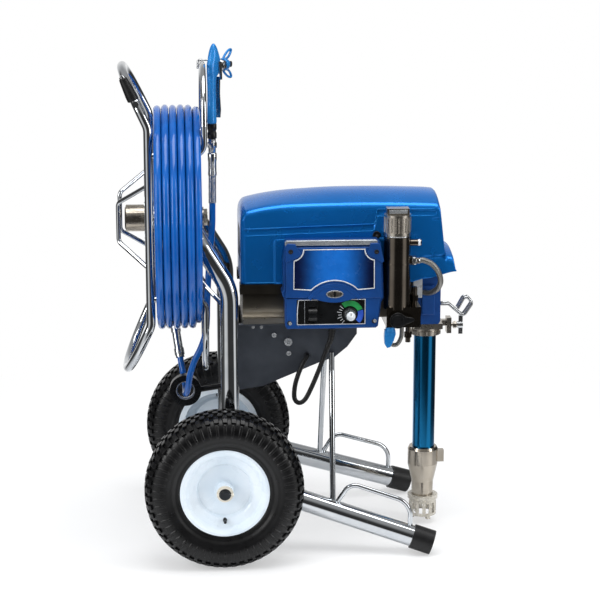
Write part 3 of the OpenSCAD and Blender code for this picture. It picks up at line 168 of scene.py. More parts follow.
def finish_of(name, dark, light, rough, metal=0.0, scale=40.0, grain=600.0, bump=0.15,
              depth=0.0001, coat=0.0, stretch=None, specular=0.5):
    """A surface whose colour drifts a little, whose gloss is uneven and which has a fine grain."""
    t = Tree(name)
    drift = t.remap(t.noise(scale, 4.0, stretch), 0.35, 0.65, 0.0, 1.0)
    base = t.mix(drift, colour(dark), colour(light))
    t.put("Base Color", base)
    t.put("Metallic", metal)
    t.put("Roughness", t.remap(t.noise(scale * 2.3, 5.0, stretch), 0.3, 0.7, rough[0], rough[1]))
    t.put("Normal", t.bump(t.noise(grain, 3.0, stretch), bump, depth))
    t.put("Specular IOR Level", specular)
    if coat:
        t.put("Coat Weight", coat)
        t.put("Coat Roughness", 0.06)
    return t.material


CHROME = finish_of("chrome", "#c3c7cb", "#ced1d4", (0.03, 0.08), 1.0, 26, 900, 0.04, 0.00002)
STEEL = finish_of("zinc_plate", "#b4b6b8", "#c4c6c8", (0.16, 0.25), 1.0, 30, 1400, 0.08, 0.00003)
NICKEL = finish_of("nickel_plate", "#a59d90", "#b4aca0", (0.18, 0.27), 1.0, 22, 1200, 0.1, 0.00004)
SATIN_NICKEL = finish_of("satin_nickel", "#b3aca2", "#c0b9ae", (0.24, 0.32), 1.0, 24, 1500, 0.1, 0.00003)
DARK_NICKEL = finish_of("dark_nickel", "#5d564e", "#6a635a", (0.14, 0.2), 1.0, 18, 1200, 0.08, 0.00003)
BLUE_PAINT = finish_of("blue_metallic_paint", "#0a67b6", "#0c6cbd", (0.22, 0.29), 0.55, 9, 3200, 0.08,
                       0.00002, coat=0.15, specular=0.2)
BOX_BLUE = finish_of("control_box_paint", "#103c78", "#134487", (0.3, 0.38), 0.25, 12, 2200, 0.12, 0.00003,
                     coat=0.1, specular=0.25)
DRIVE_BLUE = finish_of("drive_housing_paint", "#123f80", "#17488c", (0.34, 0.44), 0.25, 22, 900, 0.22,
                       0.00008, coat=0.1, specular=0.25)
ANODISED = finish_of("anodised_blue", "#16618f", "#2074a6", (0.14, 0.22), 1.0, 22, 900, 0.08, 0.00003,
                     stretch=(1, 1, 0.08))
# Lighter blue for the beads along the shroud's grooves, boss and hem: painted highlight lines.
HIGHLIGHT_BLUE = finish_of("painted_highlight_edge", "#0f7ecb", "#1288d6", (0.14, 0.2), 0.5, 20, 2000, 0.05, 0.00002)
AXLE_BLACK = finish_of("axle_end", "#35373a", "#43464a", (0.3, 0.4), 0.9, 40, 1500, 0.2, 0.00006)
GUN_BLUE = finish_of("gun_blue", "#1a6cae", "#2278ba", (0.24, 0.32), 0.15, 26, 1800, 0.08, 0.00003, coat=0.2,
                     specular=0.3)
RUBBER = finish_of("tyre_rubber", "#070708", "#0f0f10", (0.26, 0.38), 0.0, 30, 1500, 0.3, 0.0001,
                   specular=0.3)
BLACK_RUBBER = finish_of("black_rubber", "#0c0c0d", "#151516", (0.36, 0.48), 0.0, 46, 1700, 0.3, 0.00008,
                         specular=0.35)
BLACK_PLASTIC = finish_of("black_plastic", "#090a0b", "#111214", (0.26, 0.36), 0.0, 50, 2200, 0.2, 0.00005,
                          specular=0.35)
RIM_PAINT = finish_of("rim_paint", "#d2dee8", "#e2eaf1", (0.24, 0.34), 0.0, 11, 700, 0.06, 0.00004, coat=0.2,
                      specular=0.4)
IVORY = finish_of("ivory_nylon", "#d3ccbc", "#e4dfd1", (0.4, 0.5), 0.0, 50, 1200, 0.12, 0.00005)
CHASSIS = finish_of("chassis_powder_coat", "#43474f", "#4f545c", (0.3, 0.42), 0.5, 18, 1300, 0.22, 0.00007)
GEAR_CASE = finish_of("gear_case", "#6d675d", "#7c766b", (0.34, 0.46), 0.7, 26, 900, 0.4, 0.00014)
IRON = finish_of("bare_steel", "#6c6e72", "#808287", (0.28, 0.4), 1.0, 60, 1500, 0.16, 0.00005)
BRONZE = finish_of("oiled_bronze", "#8a6a36", "#a08748", (0.3, 0.42), 1.0, 70, 1600, 0.16, 0.00005)
HOSE = finish_of("hose_polyurethane", "#0a4c98", "#0e57a6", (0.07, 0.12), 0.0, 20, 700, 0.04, 0.00004,
                 specular=0.45)
MESH_WHITE = finish_of("filter_mesh", "#b9bab6", "#d2d3ce", (0.4, 0.5), 0.3, 160, 2600, 0.5, 0.0002)
EDGE_SILVER = finish_of("silver_edge", "#c6c9cc", "#dadcde", (0.25, 0.33), 0.3, 40, 1500, 0.06, 0.00003)
SILVER = finish_of("silver_plastic", "#a9adb2", "#bec2c6", (0.22, 0.3), 0.7, 30, 1500, 0.1, 0.00004)


def clear_plastic():
    t = Tree("strainer_plastic")
    t.put("Base Color", t.mix(t.uneven(50, 0, 1), colour("#c9c2b4"), colour("#e6e1d6")))
    t.put("Transmission Weight", 0.35)
    t.put("Roughness", t.uneven(90, 0.2, 0.32))
    t.put("Normal", t.bump(t.noise(700, 3), 0.15, 0.00006))
    return t.material


STRAINER = clear_plastic()


def motor_painted_shade_and_highlight():
    """Drawn motor shell, with painted shade towards the cover over it and a painted highlight along its lower
    edge.
    """
    t = Tree("motor_shell")
    rise = t.remap(t.split(t.where)[2], 0.48, 0.56, 0.0, 1.0)
    # Painted highlight at the low end of this ramp, painted shade from the cover over the motor at its high
    # end.
    stops = [(0.0, "#e0dbd2"), (0.13, "#dcd6cb"), (0.22, "#a39b8e"), (0.5, "#8b8478"),
             (0.78, "#57524a"), (1.0, "#57524a")]
    shade = t.ramp(rise, [(place, colour(code)) for place, code in stops])
    drift = t.remap(t.noise(16, 4, (0.1, 1, 1)), 0.3, 0.7, 0, 0.16)
    t.put("Base Color", t.mix(drift, shade, colour("#6c665c")))
    t.put("Roughness", t.uneven(40, 0.26, 0.36))
    t.put("Metallic", 1.0)
    t.put("Normal", t.bump(t.noise(900, 3), 0.2, 0.00006))
    return t.material


MOTOR = motor_painted_shade_and_highlight()


def fastener_finish():
    """Zinc-plated bolts, with black nuts and ivory washers at the ends of the axle."""
    t = Tree("fastener_finish")
    hub = t.remap(t.math("ABSOLUTE", t.split(t.where)[1]), 0.2739, 0.2741, 0.0, 1.0)
    zinc = t.mix(t.remap(t.noise(50, 4), 0.35, 0.65, 0, 1), colour("#c4c7ca"), colour("#d8dbde"))
    from_axle = t.vector("SUBTRACT", t.where, (AXLE_X, 0, AXLE_Z))
    reach = t.vector("LENGTH", t.vector("MULTIPLY", from_axle, (1, 0, 1)))
    washer = t.remap(reach, 0.0122, 0.0125, 0.0, 1.0)
    t.put("Base Color", t.mix(hub, zinc, t.mix(washer, colour("#3a3d41"), colour("#dcd6c8"))))
    t.put("Roughness", t.uneven(60, 0.2, 0.3))
    t.put("Metallic", t.math("SUBTRACT", 0.6, hub, use_clamp=True))
    t.put("Normal", t.bump(t.noise(1500, 3), 0.08, 0.00003))
    return t.material


FASTENER = fastener_finish()


LOOKS = [
    (AXLE_BLACK, "axle"),
    (CHROME, "axle_tube skid_leg_left skid_leg_right step_loops frame_struts frame_uprights reel_frame "
             "reel_guides hose_coupling"),
    (FASTENER, "fasteners"),
    (BLACK_RUBBER, "foot_caps valve_stem_left valve_stem_right power_lead crank_grip"),
    (RUBBER, "tyre_left tyre_right"),
    (RIM_PAINT, "rim_left rim_right"),
    (IVORY, "wheel_bushes_left wheel_bushes_right"),
    (CHASSIS, "chassis"),
    (MOTOR, "motor_housing"),
    (IRON, "motor_rotor gear_cluster crank_gear"),
    (GEAR_CASE, "gear_case"),
    (DRIVE_BLUE, "drive_housing"),
    (STEEL, "connecting_rod clamp_wing intake_ball braided_hose drain_hose pail_hook crank_arm spring_guard "
            "gun_trigger spray_tip"),
    (ANODISED, "pump_cylinder"),
    (SATIN_NICKEL, "pump_clamp filter_cap"),
    (NICKEL, "foot_valve reel_axle"),
    (STRAINER, "suction_strainer"),
    (BLUE_PAINT, "shroud"),
    (BOX_BLUE, "control_box"),
    (BLACK_PLASTIC, "control_panel power_switch hose_guide"),
    (SILVER, "pressure_knob"),
    (DARK_NICKEL, "manifold"),
    (MESH_WHITE, "filter_element"),
    (GUN_BLUE, "prime_valve gun_body tip_guard"),
    (BRONZE, "reel_bushes"),
    (HOSE, "hose_coil hose_tail whip_hose"),
]
LOOK = {name: material for material, names in LOOKS for name in names.split()}
for name, node in NODES.items():
    node.data.materials.clear()
    node.data.materials.append(LOOK[name])


# ---------- stage ----------

BANDS = [(0.0, 0.05), (0.06, 0.05), (0.09, 0.7), (0.16, 0.9), (0.2, 0.1), (0.3, 0.05), (0.36, 0.1),
         (0.4, 0.75),
         (0.46, 1.0), (0.54, 0.9), (0.6, 0.05), (0.78, 0.05), (0.81, 0.9), (0.865, 0.9), (0.89, 0.05),
         (1.0, 0.05)]


def strips(t, place):
    """Bright and dark upright strips of a studio, by the direction round the object."""
    turn = t.remap(t.math("ARCTAN2", place[0], place[1]), -math.pi, math.pi, 0.0, 1.0)
    return t.ramp(turn, [(where, (value, value, value, 1)) for where, value in BANDS])


def floor():
    mesh = bpy.data.meshes.new("floor")
    edge = 60
    steps = [-edge, -8, -3, 0, 3, 8, edge]
    points = [(x, y, 0) for y in steps for x in steps]
    n = len(steps)
    mesh.from_pydata(points, [], [(j * n + i, j * n + i + 1, (j + 1) * n + i + 1, (j + 1) * n + i)
                                  for j in range(n - 1) for i in range(n - 1)])
    plane = bpy.data.objects.new("floor", mesh)
    bpy.context.scene.collection.objects.link(plane)
    t = Tree("studio_floor")
    t.put("Base Color", t.mix(t.uneven(2.0, 0, 1, 2), (0.9, 0.9, 0.905, 1), (0.92, 0.92, 0.925, 1)))
    t.put("Roughness", t.uneven(8.0, 0.36, 0.44, 3))
    t.put("Specular IOR Level", 0.3)
    away = t.vector("LENGTH", t.where)
    ray = t.add("ShaderNodeLightPath").outputs
    white = t.add("ShaderNodeEmission", (1, 1, 1, 1), 1.0)
    share = t.math("MULTIPLY", t.remap(away, 0.55, 1.5, 0.42, 1.0, "SMOOTHSTEP"), ray["Is Camera Ray"])
    lit = t.add("ShaderNodeMixShader", share, t.shader.outputs[0], white.outputs[0])
    strip = t.add("ShaderNodeEmission", strips(t, t.split(t.where)))
    share = t.math("MULTIPLY", t.remap(away, 0.45, 1.1, 0.0, 1.0), ray["Is Glossy Ray"])
    both = t.add("ShaderNodeMixShader", share, lit.outputs[0], strip.outputs[0])
    t.feed(t.tree.nodes["Material Output"].inputs["Surface"], both.outputs[0])
    mesh.materials.append(t.material)


floor()


def lamp(name, place, aim, size, power):
    data = bpy.data.lights.new(name, "AREA")
    data.shape = "RECTANGLE"
    data.size, data.size_y = size
    data.energy = power
    o = bpy.data.objects.new(name, data)
    bpy.context.scene.collection.objects.link(o)
    o.location = place
    o.rotation_mode = "QUATERNION"
    o.rotation_quaternion = (Vector(place) - Vector(aim)).to_track_quat("Z", "Y")


lamp("top_light", (0.2, -0.4, 3.0), (0.05, 0, 0.4), (2.4, 1.6), 55)
lamp("left_light", (-2.6, -1.6, 1.7), (0, 0, 0.5), (0.7, 2.2), 40)
lamp("right_light", (2.6, -1.2, 1.5), (0, 0, 0.5), (0.6, 2.0), 26)


def studio_world():
    world = bpy.data.worlds.new("studio")
    bpy.context.scene.world = world
    world.use_nodes = True
    t = Nodes(world.node_tree)
    t.tree.nodes.clear()
    seen = t.add("ShaderNodeBackground", (1, 1, 1, 1), 1.0)
    felt = t.add("ShaderNodeBackground", (0.96, 0.98, 1, 1), 0.78)
    place = t.split(t.add("ShaderNodeTexCoord").outputs["Generated"])
    height = t.remap(place[2], 0.3, 0.8, 0.0, 1.0, "SMOOTHSTEP")
    mirrored = t.add("ShaderNodeBackground", t.mix(height, strips(t, place), (0.5, 0.5, 0.5, 1)), 0.85)
    ray = t.add("ShaderNodeLightPath").outputs
    unseen = t.add("ShaderNodeMixShader", ray["Is Glossy Ray"], felt.outputs[0], mirrored.outputs[0])
    world_light = t.add("ShaderNodeMixShader", ray["Is Camera Ray"], unseen.outputs[0], seen.outputs[0])
    t.add("ShaderNodeOutputWorld", world_light.outputs[0])


studio_world()
bpy.context.scene.view_settings.view_transform = "Standard"


# ---------- making meshes ----------

def rework(mesh, *steps):
    """Put a mesh through steps that each take its bmesh."""
    work = bmesh.new()
    work.from_mesh(mesh)
    for step in steps:
        step(work)
    work.to_mesh(mesh)
    work.free()


def outwards(work):
    bmesh.ops.recalc_face_normals(work, faces=work.faces)


def add_mesh(name, points, faces, material, body=None, smooth=True, bevel=0.0, segments=2, uvs=None):
    mesh = bpy.data.meshes.new(name)
    mesh.from_pydata([tuple(p) for p in points], [], faces)
    if uvs:
        layer = mesh.uv_layers.new(name="UVMap")
        for loop in mesh.loops:
            layer.data[loop.index].uv = uvs[loop.index]
    mesh.update()
    rework(mesh, outwards)
    for polygon in mesh.polygons:
        polygon.use_smooth = smooth
    mesh.materials.append(material)
    o = bpy.data.objects.new(name, mesh)
    bpy.context.scene.collection.objects.link(o)
    if bevel:
        m = o.modifiers.new("edges", "BEVEL")
        m.width = bevel
        m.segments = segments
        m.limit_method = "ANGLE"
        m.angle_limit = math.radians(35)
        m.harden_normals = False
    if body:
        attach(o, body)
    return o


def spoke(u, v, angle):
    """The direction at an angle between two directions at right angles."""
    return u * math.cos(angle) + v * math.sin(angle)


def revolve(profile, centre, axis, steps, closed=True):
    """Points and faces of a profile of (radius, height) turned about an axis through a centre."""
    w = Vector(axis).normalized()
    u = w.orthogonal().normalized()
    v = w.cross(u)
    n = len(profile)
    points = [centre + w * h + spoke(u, v, 2 * math.pi * k / steps) * r
              for k in range(steps) for r, h in profile]
    faces = [(k * n + i, k * n + (i + 1) % n, ((k + 1) % steps) * n + (i + 1) % n, ((k + 1) % steps) * n + i)
             for k in range(steps) for i in range(n if closed else n - 1)]
    return points, faces


def catmull(p, steps):
    """A smooth line through route points."""
    line = []
    n = len(p)
    for i in range(n - 1):
        a, b, c, d = p[max(i - 1, 0)], p[i], p[i + 1], p[min(i + 2, n - 1)]
        for k in range(steps):
            t = k / steps
            line.append(0.5 * (2 * b + (c - a) * t + (2 * a - 5 * b + 4 * c - d) * t * t
                               + (3 * b - a - 3 * c + d) * t * t * t))
    return line + [p[-1]]


def drawn(name, line, width, resolution, material, body, closed=False):
    """A curve of one spline with a round section, its line given as points of the frame."""
    data = bpy.data.curves.new(name, "CURVE")
    data.dimensions = "3D"
    spline = data.splines.new("POLY")
    spline.points.add(len(line) - 1)
    for point, p in zip(spline.points, line):
        point.co = (p.x, p.y, p.z, 1)
    if closed:
        spline.use_cyclic_u = True
    else:
        spline.use_smooth = True
        data.use_fill_caps = True
    data.bevel_depth = width / 2
    data.bevel_resolution = resolution
    data.materials.append(material)
    o = bpy.data.objects.new(name, data)
    bpy.context.scene.collection.objects.link(o)
    if body:
        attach(o, body)
    return o


def tube(name, line, diameter, material, body=None, sides=16):
    """A round tube along a line."""
    return drawn(name, line, diameter, max(1, sides // 4 - 1), material, body)


def swept(name, line, radii, material, body=None, sides=16):
    """A mesh tube along a line, with a radius at each point and UVs that run along it."""
    if isinstance(radii, (int, float)):
        radii = [radii] * len(line)
    points = []
    side = (line[1] - line[0]).orthogonal().normalized()
    for i, p in enumerate(line):
        w = (line[min(i + 1, len(line) - 1)] - line[max(i - 1, 0)]).normalized()
        side = (side - w * side.dot(w)).normalized()
        other = w.cross(side)
        points += [p + radii[i] * spoke(side, other, 2 * math.pi * k / sides) for k in range(sides)]
    faces, uvs, run = [], [], 0.0
    for i in range(len(line) - 1):
        ahead = run + (line[i + 1] - line[i]).length
        for k in range(sides):
            q = (k + 1) % sides
            faces.append((i * sides + k, i * sides + q, (i + 1) * sides + q, (i + 1) * sides + k))
            uvs += [(k / sides, run), ((k + 1) / sides, run), ((k + 1) / sides, ahead), (k / sides, ahead)]
        run = ahead
    last = (len(line) - 1) * sides
    faces.append(tuple(reversed(range(sides))))
    faces.append(tuple(last + k for k in range(sides)))
    uvs += [(0, 0)] * (2 * sides)
    return add_mesh(name, points, faces, material, body, uvs=uvs)


# ---------- hoses ----------

hose_d = 15.5
rod_d = 12.7
turn_pitch = 16.25
coil_inner = (math.hypot(125, 150) + rod_d / 2 + hose_d / 2 + 0.6) / math.cos(math.pi / 24)
coil_step = turn_pitch + 0.6
coil_right = -32 - rod_d / 2 - hose_d / 2 - 0.45
coil_left = coil_right - turn_pitch * 5
coil_start = 45
total_turns = 10.9
hub_r = 22 / 2 + 8
reel_z = 690


def climb(s):
    return math.sqrt(max(0.0, 1 - (1 - s) ** 2))


def coil_place(t):
    """Place along the reel's axis and radius of the hose after t turns."""
    if t < 5:
        return coil_left + turn_pitch * t, coil_inner
    if t < 6:
        return coil_right, coil_inner + coil_step * climb(t - 5)
    k = math.floor(t - 6 + 0.0001)
    s = max(0.0, t - 6 - k)
    return coil_right - turn_pitch * (k + math.sqrt(max(0.0,
        1 - (1 - climb(s)) ** 2))), coil_inner + coil_step


def reel_point(x, r, a):
    return at(x, r * math.cos(math.radians(a)), reel_z + r * math.sin(math.radians(a)))


def loose(t):
    """How far a turn of the outer layer stands off, in millimetres: neighbours stand off in turn."""
    share = max(0.0, min(1.0, (t - 6.1) / 0.5)) * max(0.0, min(1.0, (total_turns - 0.1 - t) / 0.5))
    share = share * share * (3 - 2 * share)
    side = math.radians(360 * (total_turns - t) - coil_start)
    return 4.5 * share * (0.5 + 0.5 * math.cos(math.pi * (t - 6))) * (0.6 + 0.4 * math.sin(side + 0.5))


def coil_line(per_turn):
    """The hose from the hub out to the first turn and through all turns to where it leaves the reel."""
    first = 360 * total_turns - coil_start
    bend, lead_in = 65, 16
    off = math.degrees(math.asin(bend / (coil_inner - bend)))
    line = [reel_point(coil_left, hub_r + 0.2, first + off), reel_point(coil_left, hub_r + 20, first + off),
            reel_point(coil_left, hub_r + 40, first + off)]
    middle = reel_point(coil_left, coil_inner - bend, first)
    for k in range(lead_in):
        a = math.radians(first + (90 + off) * (1 - k / lead_in))
        line.append(middle + Vector((0, math.cos(a), math.sin(a))) * bend / 1000)
    count = round(per_turn * total_turns)
    for k in range(count + 1):
        t = total_turns * k / count
        x, r = coil_place(t)
        line.append(reel_point(x, r + loose(t), 360 * (total_turns - t) - coil_start))
    leave = Vector((0, -math.sin(math.radians(coil_start)), -math.cos(math.radians(coil_start))))
    return line, line[-1] + leave * 0.0155, leave


turns, coil_end, leave = coil_line(48)
coupling_from = at(-97, 97, 436)
coupling_to = at(-86, 68, 366)
coupling_dir = (coupling_to - coupling_from).normalized()
tail = catmull([coil_end, coil_end + leave * 0.0155, at(-126.5, 128.5, 490), at(-110, 115, 466),
                coupling_from - coupling_dir * 0.015, coupling_from], 8)
main_line = turns + tail
main_hose = tube("main_hose", main_line, 0.0155, HOSE, "reel", 24)
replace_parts(main_hose, "hose_coil", "hose_tail")

gun_x, gun_low = -12.8, 828
guard_to = at(gun_x, 0, gun_low - 0.3)
guard_from = guard_to + Vector((-0.0008, -0.004, -0.108))
guard_dir = (guard_to - guard_from).normalized()
whip_line = catmull([coupling_to, coupling_to + coupling_dir * 0.013] + [at(*p) for p in (
    (-80, 50, 334), (-76, 24, 310), (-76, 0, 303), (-74, -24, 309), (-70, -46, 330), (-66, -58, 360),
    (-55, -61, 393), (-42, -60, 420), (-32.5, -57, 448), (-29, -51, 478), (-28, -46, 510), (-25, -37, 560),
    (-20, -28, 620), (-15, -13, 668))] + [guard_from - guard_dir * 0.014, guard_to], 10)
whip_hose = tube("whip_line", whip_line, 0.0135, HOSE, "reel", 20)
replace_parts(whip_hose, "whip_hose")


# ---------- tyres ----------

def tyre_section():
    """Half of the carcass section from the bead to the middle of the tread, as (radius, width) in mm."""
    line = [(90.5, 24), (88.3, 29), (92.3, 33), (92.3, 34.6), (95.0, 36.2), (98.5, 37.8), (100.5, 37.4),
            (103.0, 39.2),
            (106.5, 41.4), (109.5, 43.6), (111.5, 43.8)]
    for k in range(12):
        a = math.radians(118 - 83 * k / 11)
        line.append((129 + 30 * math.cos(a), 20 + 28.5 * math.sin(a)))
    return line + [(157, 32), (158.6, 25), (159.6, 16), (160, 8), (160, 0)]


def along(line, s):
    """Point and outward direction at a share s of a section line, where s counts its segments."""
    i = min(int(s), len(line) - 2)
    t = s - i
    (r0, w0), (r1, w1) = line[i], line[i + 1]
    d = Vector((r1 - r0, w1 - w0)).normalized()
    return Vector((r0 + (r1 - r0) * t, w0 + (w1 - w0) * t)), Vector((-d.y, d.x))


def make_tyre(body, node, side):
    """The carcass as one turned shell, and its lugs and sidewall ribs as one mesh on top."""
    low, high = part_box(node)
    middle = (low + high) / 2
    middle.z = AXLE_Z
    section = tyre_section()
    full = section + [(r, -w) for r, w in reversed(section[:-1])] + [(88, -20), (126, -42), (150, -26),
        (150, 26), (126, 42), (88, 20)]
    points, faces = revolve([(r / 1000, w / 1000) for r, w in full], middle, (0, 1, 0), 216)

    def place(r, w, a):
        return middle + Vector((r * math.cos(a), w, r * math.sin(a))) / 1000

    lugs, lug_faces = [], []

    def lug(rows, a0, a1, height, taper, flip, skew=0.0):
        """One block of rubber over rows of (point, outward direction) of the section."""
        start = len(lugs)
        for j, (p, n) in enumerate(rows):
            share = j / (len(rows) - 1)
            low_end = 0.35 if taper > 1 and j in (0, len(rows) - 1) else 1.0
            turn = skew * (share - 0.5)
            for (edge, lift) in ((0, -1.2), (0, 0), (1, height), (2, height), (3, 0), (3, -1.2)):
                q = {0: a0, 1: a0 + taper_angle, 2: a1 - taper_angle, 3: a1}[edge] + turn
                h = lift if lift <= 0 else lift * low_end
                lugs.append(place(p.x + n.x * h, flip * (p.y + n.y * h), q))
        for j in range(len(rows) - 1):
            for k in range(5):
                a, b = start + j * 6 + k, start + (j + 1) * 6 + k
                lug_faces.append((a, a + 1, b + 1, b))
            lug_faces.append((start + j * 6 + 5, start + j * 6, start + (j + 1) * 6, start + (j + 1) * 6 + 5))
        end = start + (len(rows) - 1) * 6
        lug_faces.append(tuple(range(start, start + 6)))
        lug_faces.append(tuple(reversed(range(end, end + 6))))

    count = 54
    pitch = 2 * math.pi / count
    last = len(section) - 1

    def rows_between(s0, s1, n):
        found = []
        for j in range(n):
            p, d = along(section, s0 + (s1 - s0) * j / (n - 1))
            if d.dot(p - Vector((129, 10))) < 0:
                d = -d
            found.append((p, d))
        return found

    for flip in (-1, 1):
        for k in range(count):
            a = k * pitch
            taper_angle = pitch * 0.06
            lug(rows_between(last - 6.2, last - 3.4, 4), a + pitch * 0.12, a + pitch * 0.76, 4.6, 0, flip,
                0.006)
            lug(rows_between(last - 2.9, last - 1.35, 3), a + pitch * 0.60, a + pitch * 1.26, 4.7, 0, flip,
                -0.008)
            taper_angle = pitch * 0.12
            lug(rows_between(13.0, 20.6, 8), a + pitch * 0.22, a + pitch * 0.66, 1.5, 2, flip)
    for k in range(count):
        a = k * pitch
        taper_angle = pitch * 0.06
        row = [(Vector((160, w)), Vector((1, 0))) for w in (-5.4, 0, 5.4)]
        lug(row, a + pitch * 0.10, a + pitch * 0.78, 4.7, 0, 1, 0.01)
    shell = add_mesh("tyre_carcass_" + side, points, faces, RUBBER, body)
    add_mesh("tyre_tread_" + side, lugs, lug_faces, RUBBER, body, smooth=False, bevel=0.0004, segments=1)
    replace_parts(shell, node)


make_tyre("wheel_left", "tyre_left", "left")
make_tyre("wheel_right", "tyre_right", "right")


# ---------- trim helpers ----------

def plate(name, outline, y0, y1, material, body="frame", bevel=0.0006, smooth=False):
    """A flat plate with an outline in millimetres across and up, between two depths."""
    n = len(outline)
    points = [at(x, y, z) for y in (y0, y1) for x, z in outline]
    faces = [tuple(range(n)), tuple(reversed(range(n, 2 * n)))]
    faces += [(i, (i + 1) % n, n + (i + 1) % n, n + i) for i in range(n)]
    return add_mesh(name, points, faces, material, body, smooth=smooth, bevel=bevel, segments=3)


def border(name, outline, y, width, material, body="frame"):
    """A thin round bead that runs round an outline."""
    drawn(name, [at(x, y, z) for x, z in outline], width / 1000, 3, material, body, closed=True)


def arc_points(x, z, r, a0, a1, n):
    return [(x + r * math.cos(math.radians(a0 + (a1 - a0) * i / n)),
             z + r * math.sin(math.radians(a0 + (a1 - a0) * i / n))) for i in range(n + 1)]


def oval(x, z, rx, rz, n=48):
    return [(x + rx * math.cos(2 * math.pi * i / n),
             z + rz * math.sin(2 * math.pi * i / n)) for i in range(n)]


def turned(name, profile, place, axis, material, body, steps=64, bevel=0.0):
    """A turned piece: radius and height in millimetres, its axis through a place in the frame."""
    points, faces = revolve([(r / 1000, h / 1000) for r, h in profile], place, axis, steps)
    return add_mesh(name, points, faces, material, body, bevel=bevel)


# ---------- control box ----------

def glow_panel():
    """A satin label face that is bright in its middle and dark towards its sides."""
    t = Tree("label_face")
    away = t.math("ABSOLUTE", t.math("SUBTRACT", t.split(t.where)[0], at(234, 0, 600).x))
    fade = t.remap(away, 0.012, 0.078, 0.0, 1.0, "SMOOTHSTEP")
    low = t.mix(t.uneven(60, 0, 1), colour("#0b57a8"), colour("#1162b6"))
    dark = t.mix(t.uneven(60, 0, 1), colour("#040d2b"), colour("#061236"))
    t.put("Base Color", t.mix(fade, low, dark))
    t.put("Roughness", t.uneven(40, 0.2, 0.3))
    t.put("Normal", t.bump(t.noise(1800, 2), 0.08, 0.00003))
    t.put("Specular IOR Level", 0.2)
    return t.material


LABEL = glow_panel()
GREEN = finish_of("dial_green", "#0d7a38", "#159648", (0.35, 0.45), 0, 60, 1800, 0.08, 0.00003)
DIAL_BLUE = finish_of("dial_blue", "#1647b4", "#2460d4", (0.35, 0.45), 0, 60, 1800, 0.08, 0.00003)
WHITE_INK = finish_of("white_ink", "#c9ccd0", "#e6e8ea", (0.4, 0.5), 0, 60, 1800, 0.06, 0.00003)
KNOB_WHITE = finish_of("knob_face", "#c4c8cc", "#e2e5e8", (0.25, 0.35), 0.2, 80, 1500, 0.1, 0.00004, coat=0.3)

top_left = arc_points(146, 646, 24, -1, -80, 10)
top_right = arc_points(320.5, 646, 24, -100, -179, 10)
label_outline = (top_left + [(149.5, 563), (184, 560.5)] + arc_points(234, 511, 69.5, 134, 46, 16)
                 + [(284, 560.5), (317, 563)] + top_right)
plate("label_face", label_outline, -149.7, -150.5, LABEL, bevel=0.0003)
border("label_edge", label_outline, -150.5, 2.5, EDGE_SILVER)
lip_outer = arc_points(234, 508, 66, 148, 32, 24)
lip_inner = arc_points(234, 508, 58, 32, 148, 24)
plate("badge_arch", lip_outer + lip_inner, -149.5, -151.6, BOX_BLUE, bevel=0.0009)
plate("badge_lens", arc_points(234, 508, 65, 143, 37, 24) + arc_points(234, 640, 106.5, -62, -118, 20),
      -149.4, -150.9, BOX_BLUE,
      bevel=0.0006)
plate("badge", oval(234.5, 551.5, 18, 8.2), -149.6, -152.2, SILVER, bevel=0.0005)
plate("badge_inset", oval(234.5, 551.5, 15.5, 6.2), -152.0, -152.5, SATIN_NICKEL, bevel=0.0002)
plate("badge_slot", oval(234.5, 551.5, 2.6, 6.4, 24), -152.3, -152.8, BLACK_PLASTIC, bevel=0.0002)
plate("box_top_bar", [(131.5, 653.4), (323.5, 653.4), (323.5, 661), (320.5, 664.3), (134.5, 664.3),
                      (131.5, 661)], -137, -147.6, SILVER,
      bevel=0.0014)
panel_frame = [(157, 486.4), (298.4, 486.4), (298.4, 538.6), (160, 538.6), (157.6, 522), (157, 505)]
border("panel_edge", panel_frame, -146.4, 1.9, EDGE_SILVER)
border("panel_line", [(172.4, 488), (172.4, 537), (172.9, 537), (172.9, 488)], -143.2, 0.7, SILVER)


def switch_boot():
    outer = [(178.6, 487.2), (199.4, 487.2), (200.6, 489), (200.6, 535), (199.4, 536.8), (178.6, 536.8),
             (177.4, 535), (177.4, 489)]
    inner = [(179.4, 490.6), (198.6, 490.6), (198.6, 490.6), (198.6, 523.4), (198.6, 523.4), (179.4, 523.4),
             (179.4, 523.4), (179.4, 490.6)]
    points = [at(x, -143.05, z) for x, z in outer] + [at(x, -147.2, z) for x, z in outer]
    points += [at(x, -147.2, z) for x, z in inner] + [at(x, -143.05, z) for x, z in inner]
    faces = []
    for ring in range(4):
        for i in range(8):
            a, b = ring * 8 + i, ring * 8 + (i + 1) % 8
            c, d = ((ring + 1) % 4) * 8 + (i + 1) % 8, ((ring + 1) % 4) * 8 + i
            faces.append((a, b, c, d))
    o = add_mesh("switch_surround", points, faces, BLACK_PLASTIC, "frame", smooth=False, bevel=0.0005)
    rework(o.data, lambda work: bmesh.ops.remove_doubles(work, verts=work.verts, dist=0.00001),
           lambda work: bmesh.ops.dissolve_degenerate(work, edges=work.edges, dist=0.00001))


switch_boot()


def ring_sector(name, x, z, r0, r1, a0, a1, y, material):
    n = 28
    plate(name, arc_points(x, z, r0, a0, a1, n) + arc_points(x, z, r1, a1, a0, n), y + 0.1, y, material,
          bevel=0)


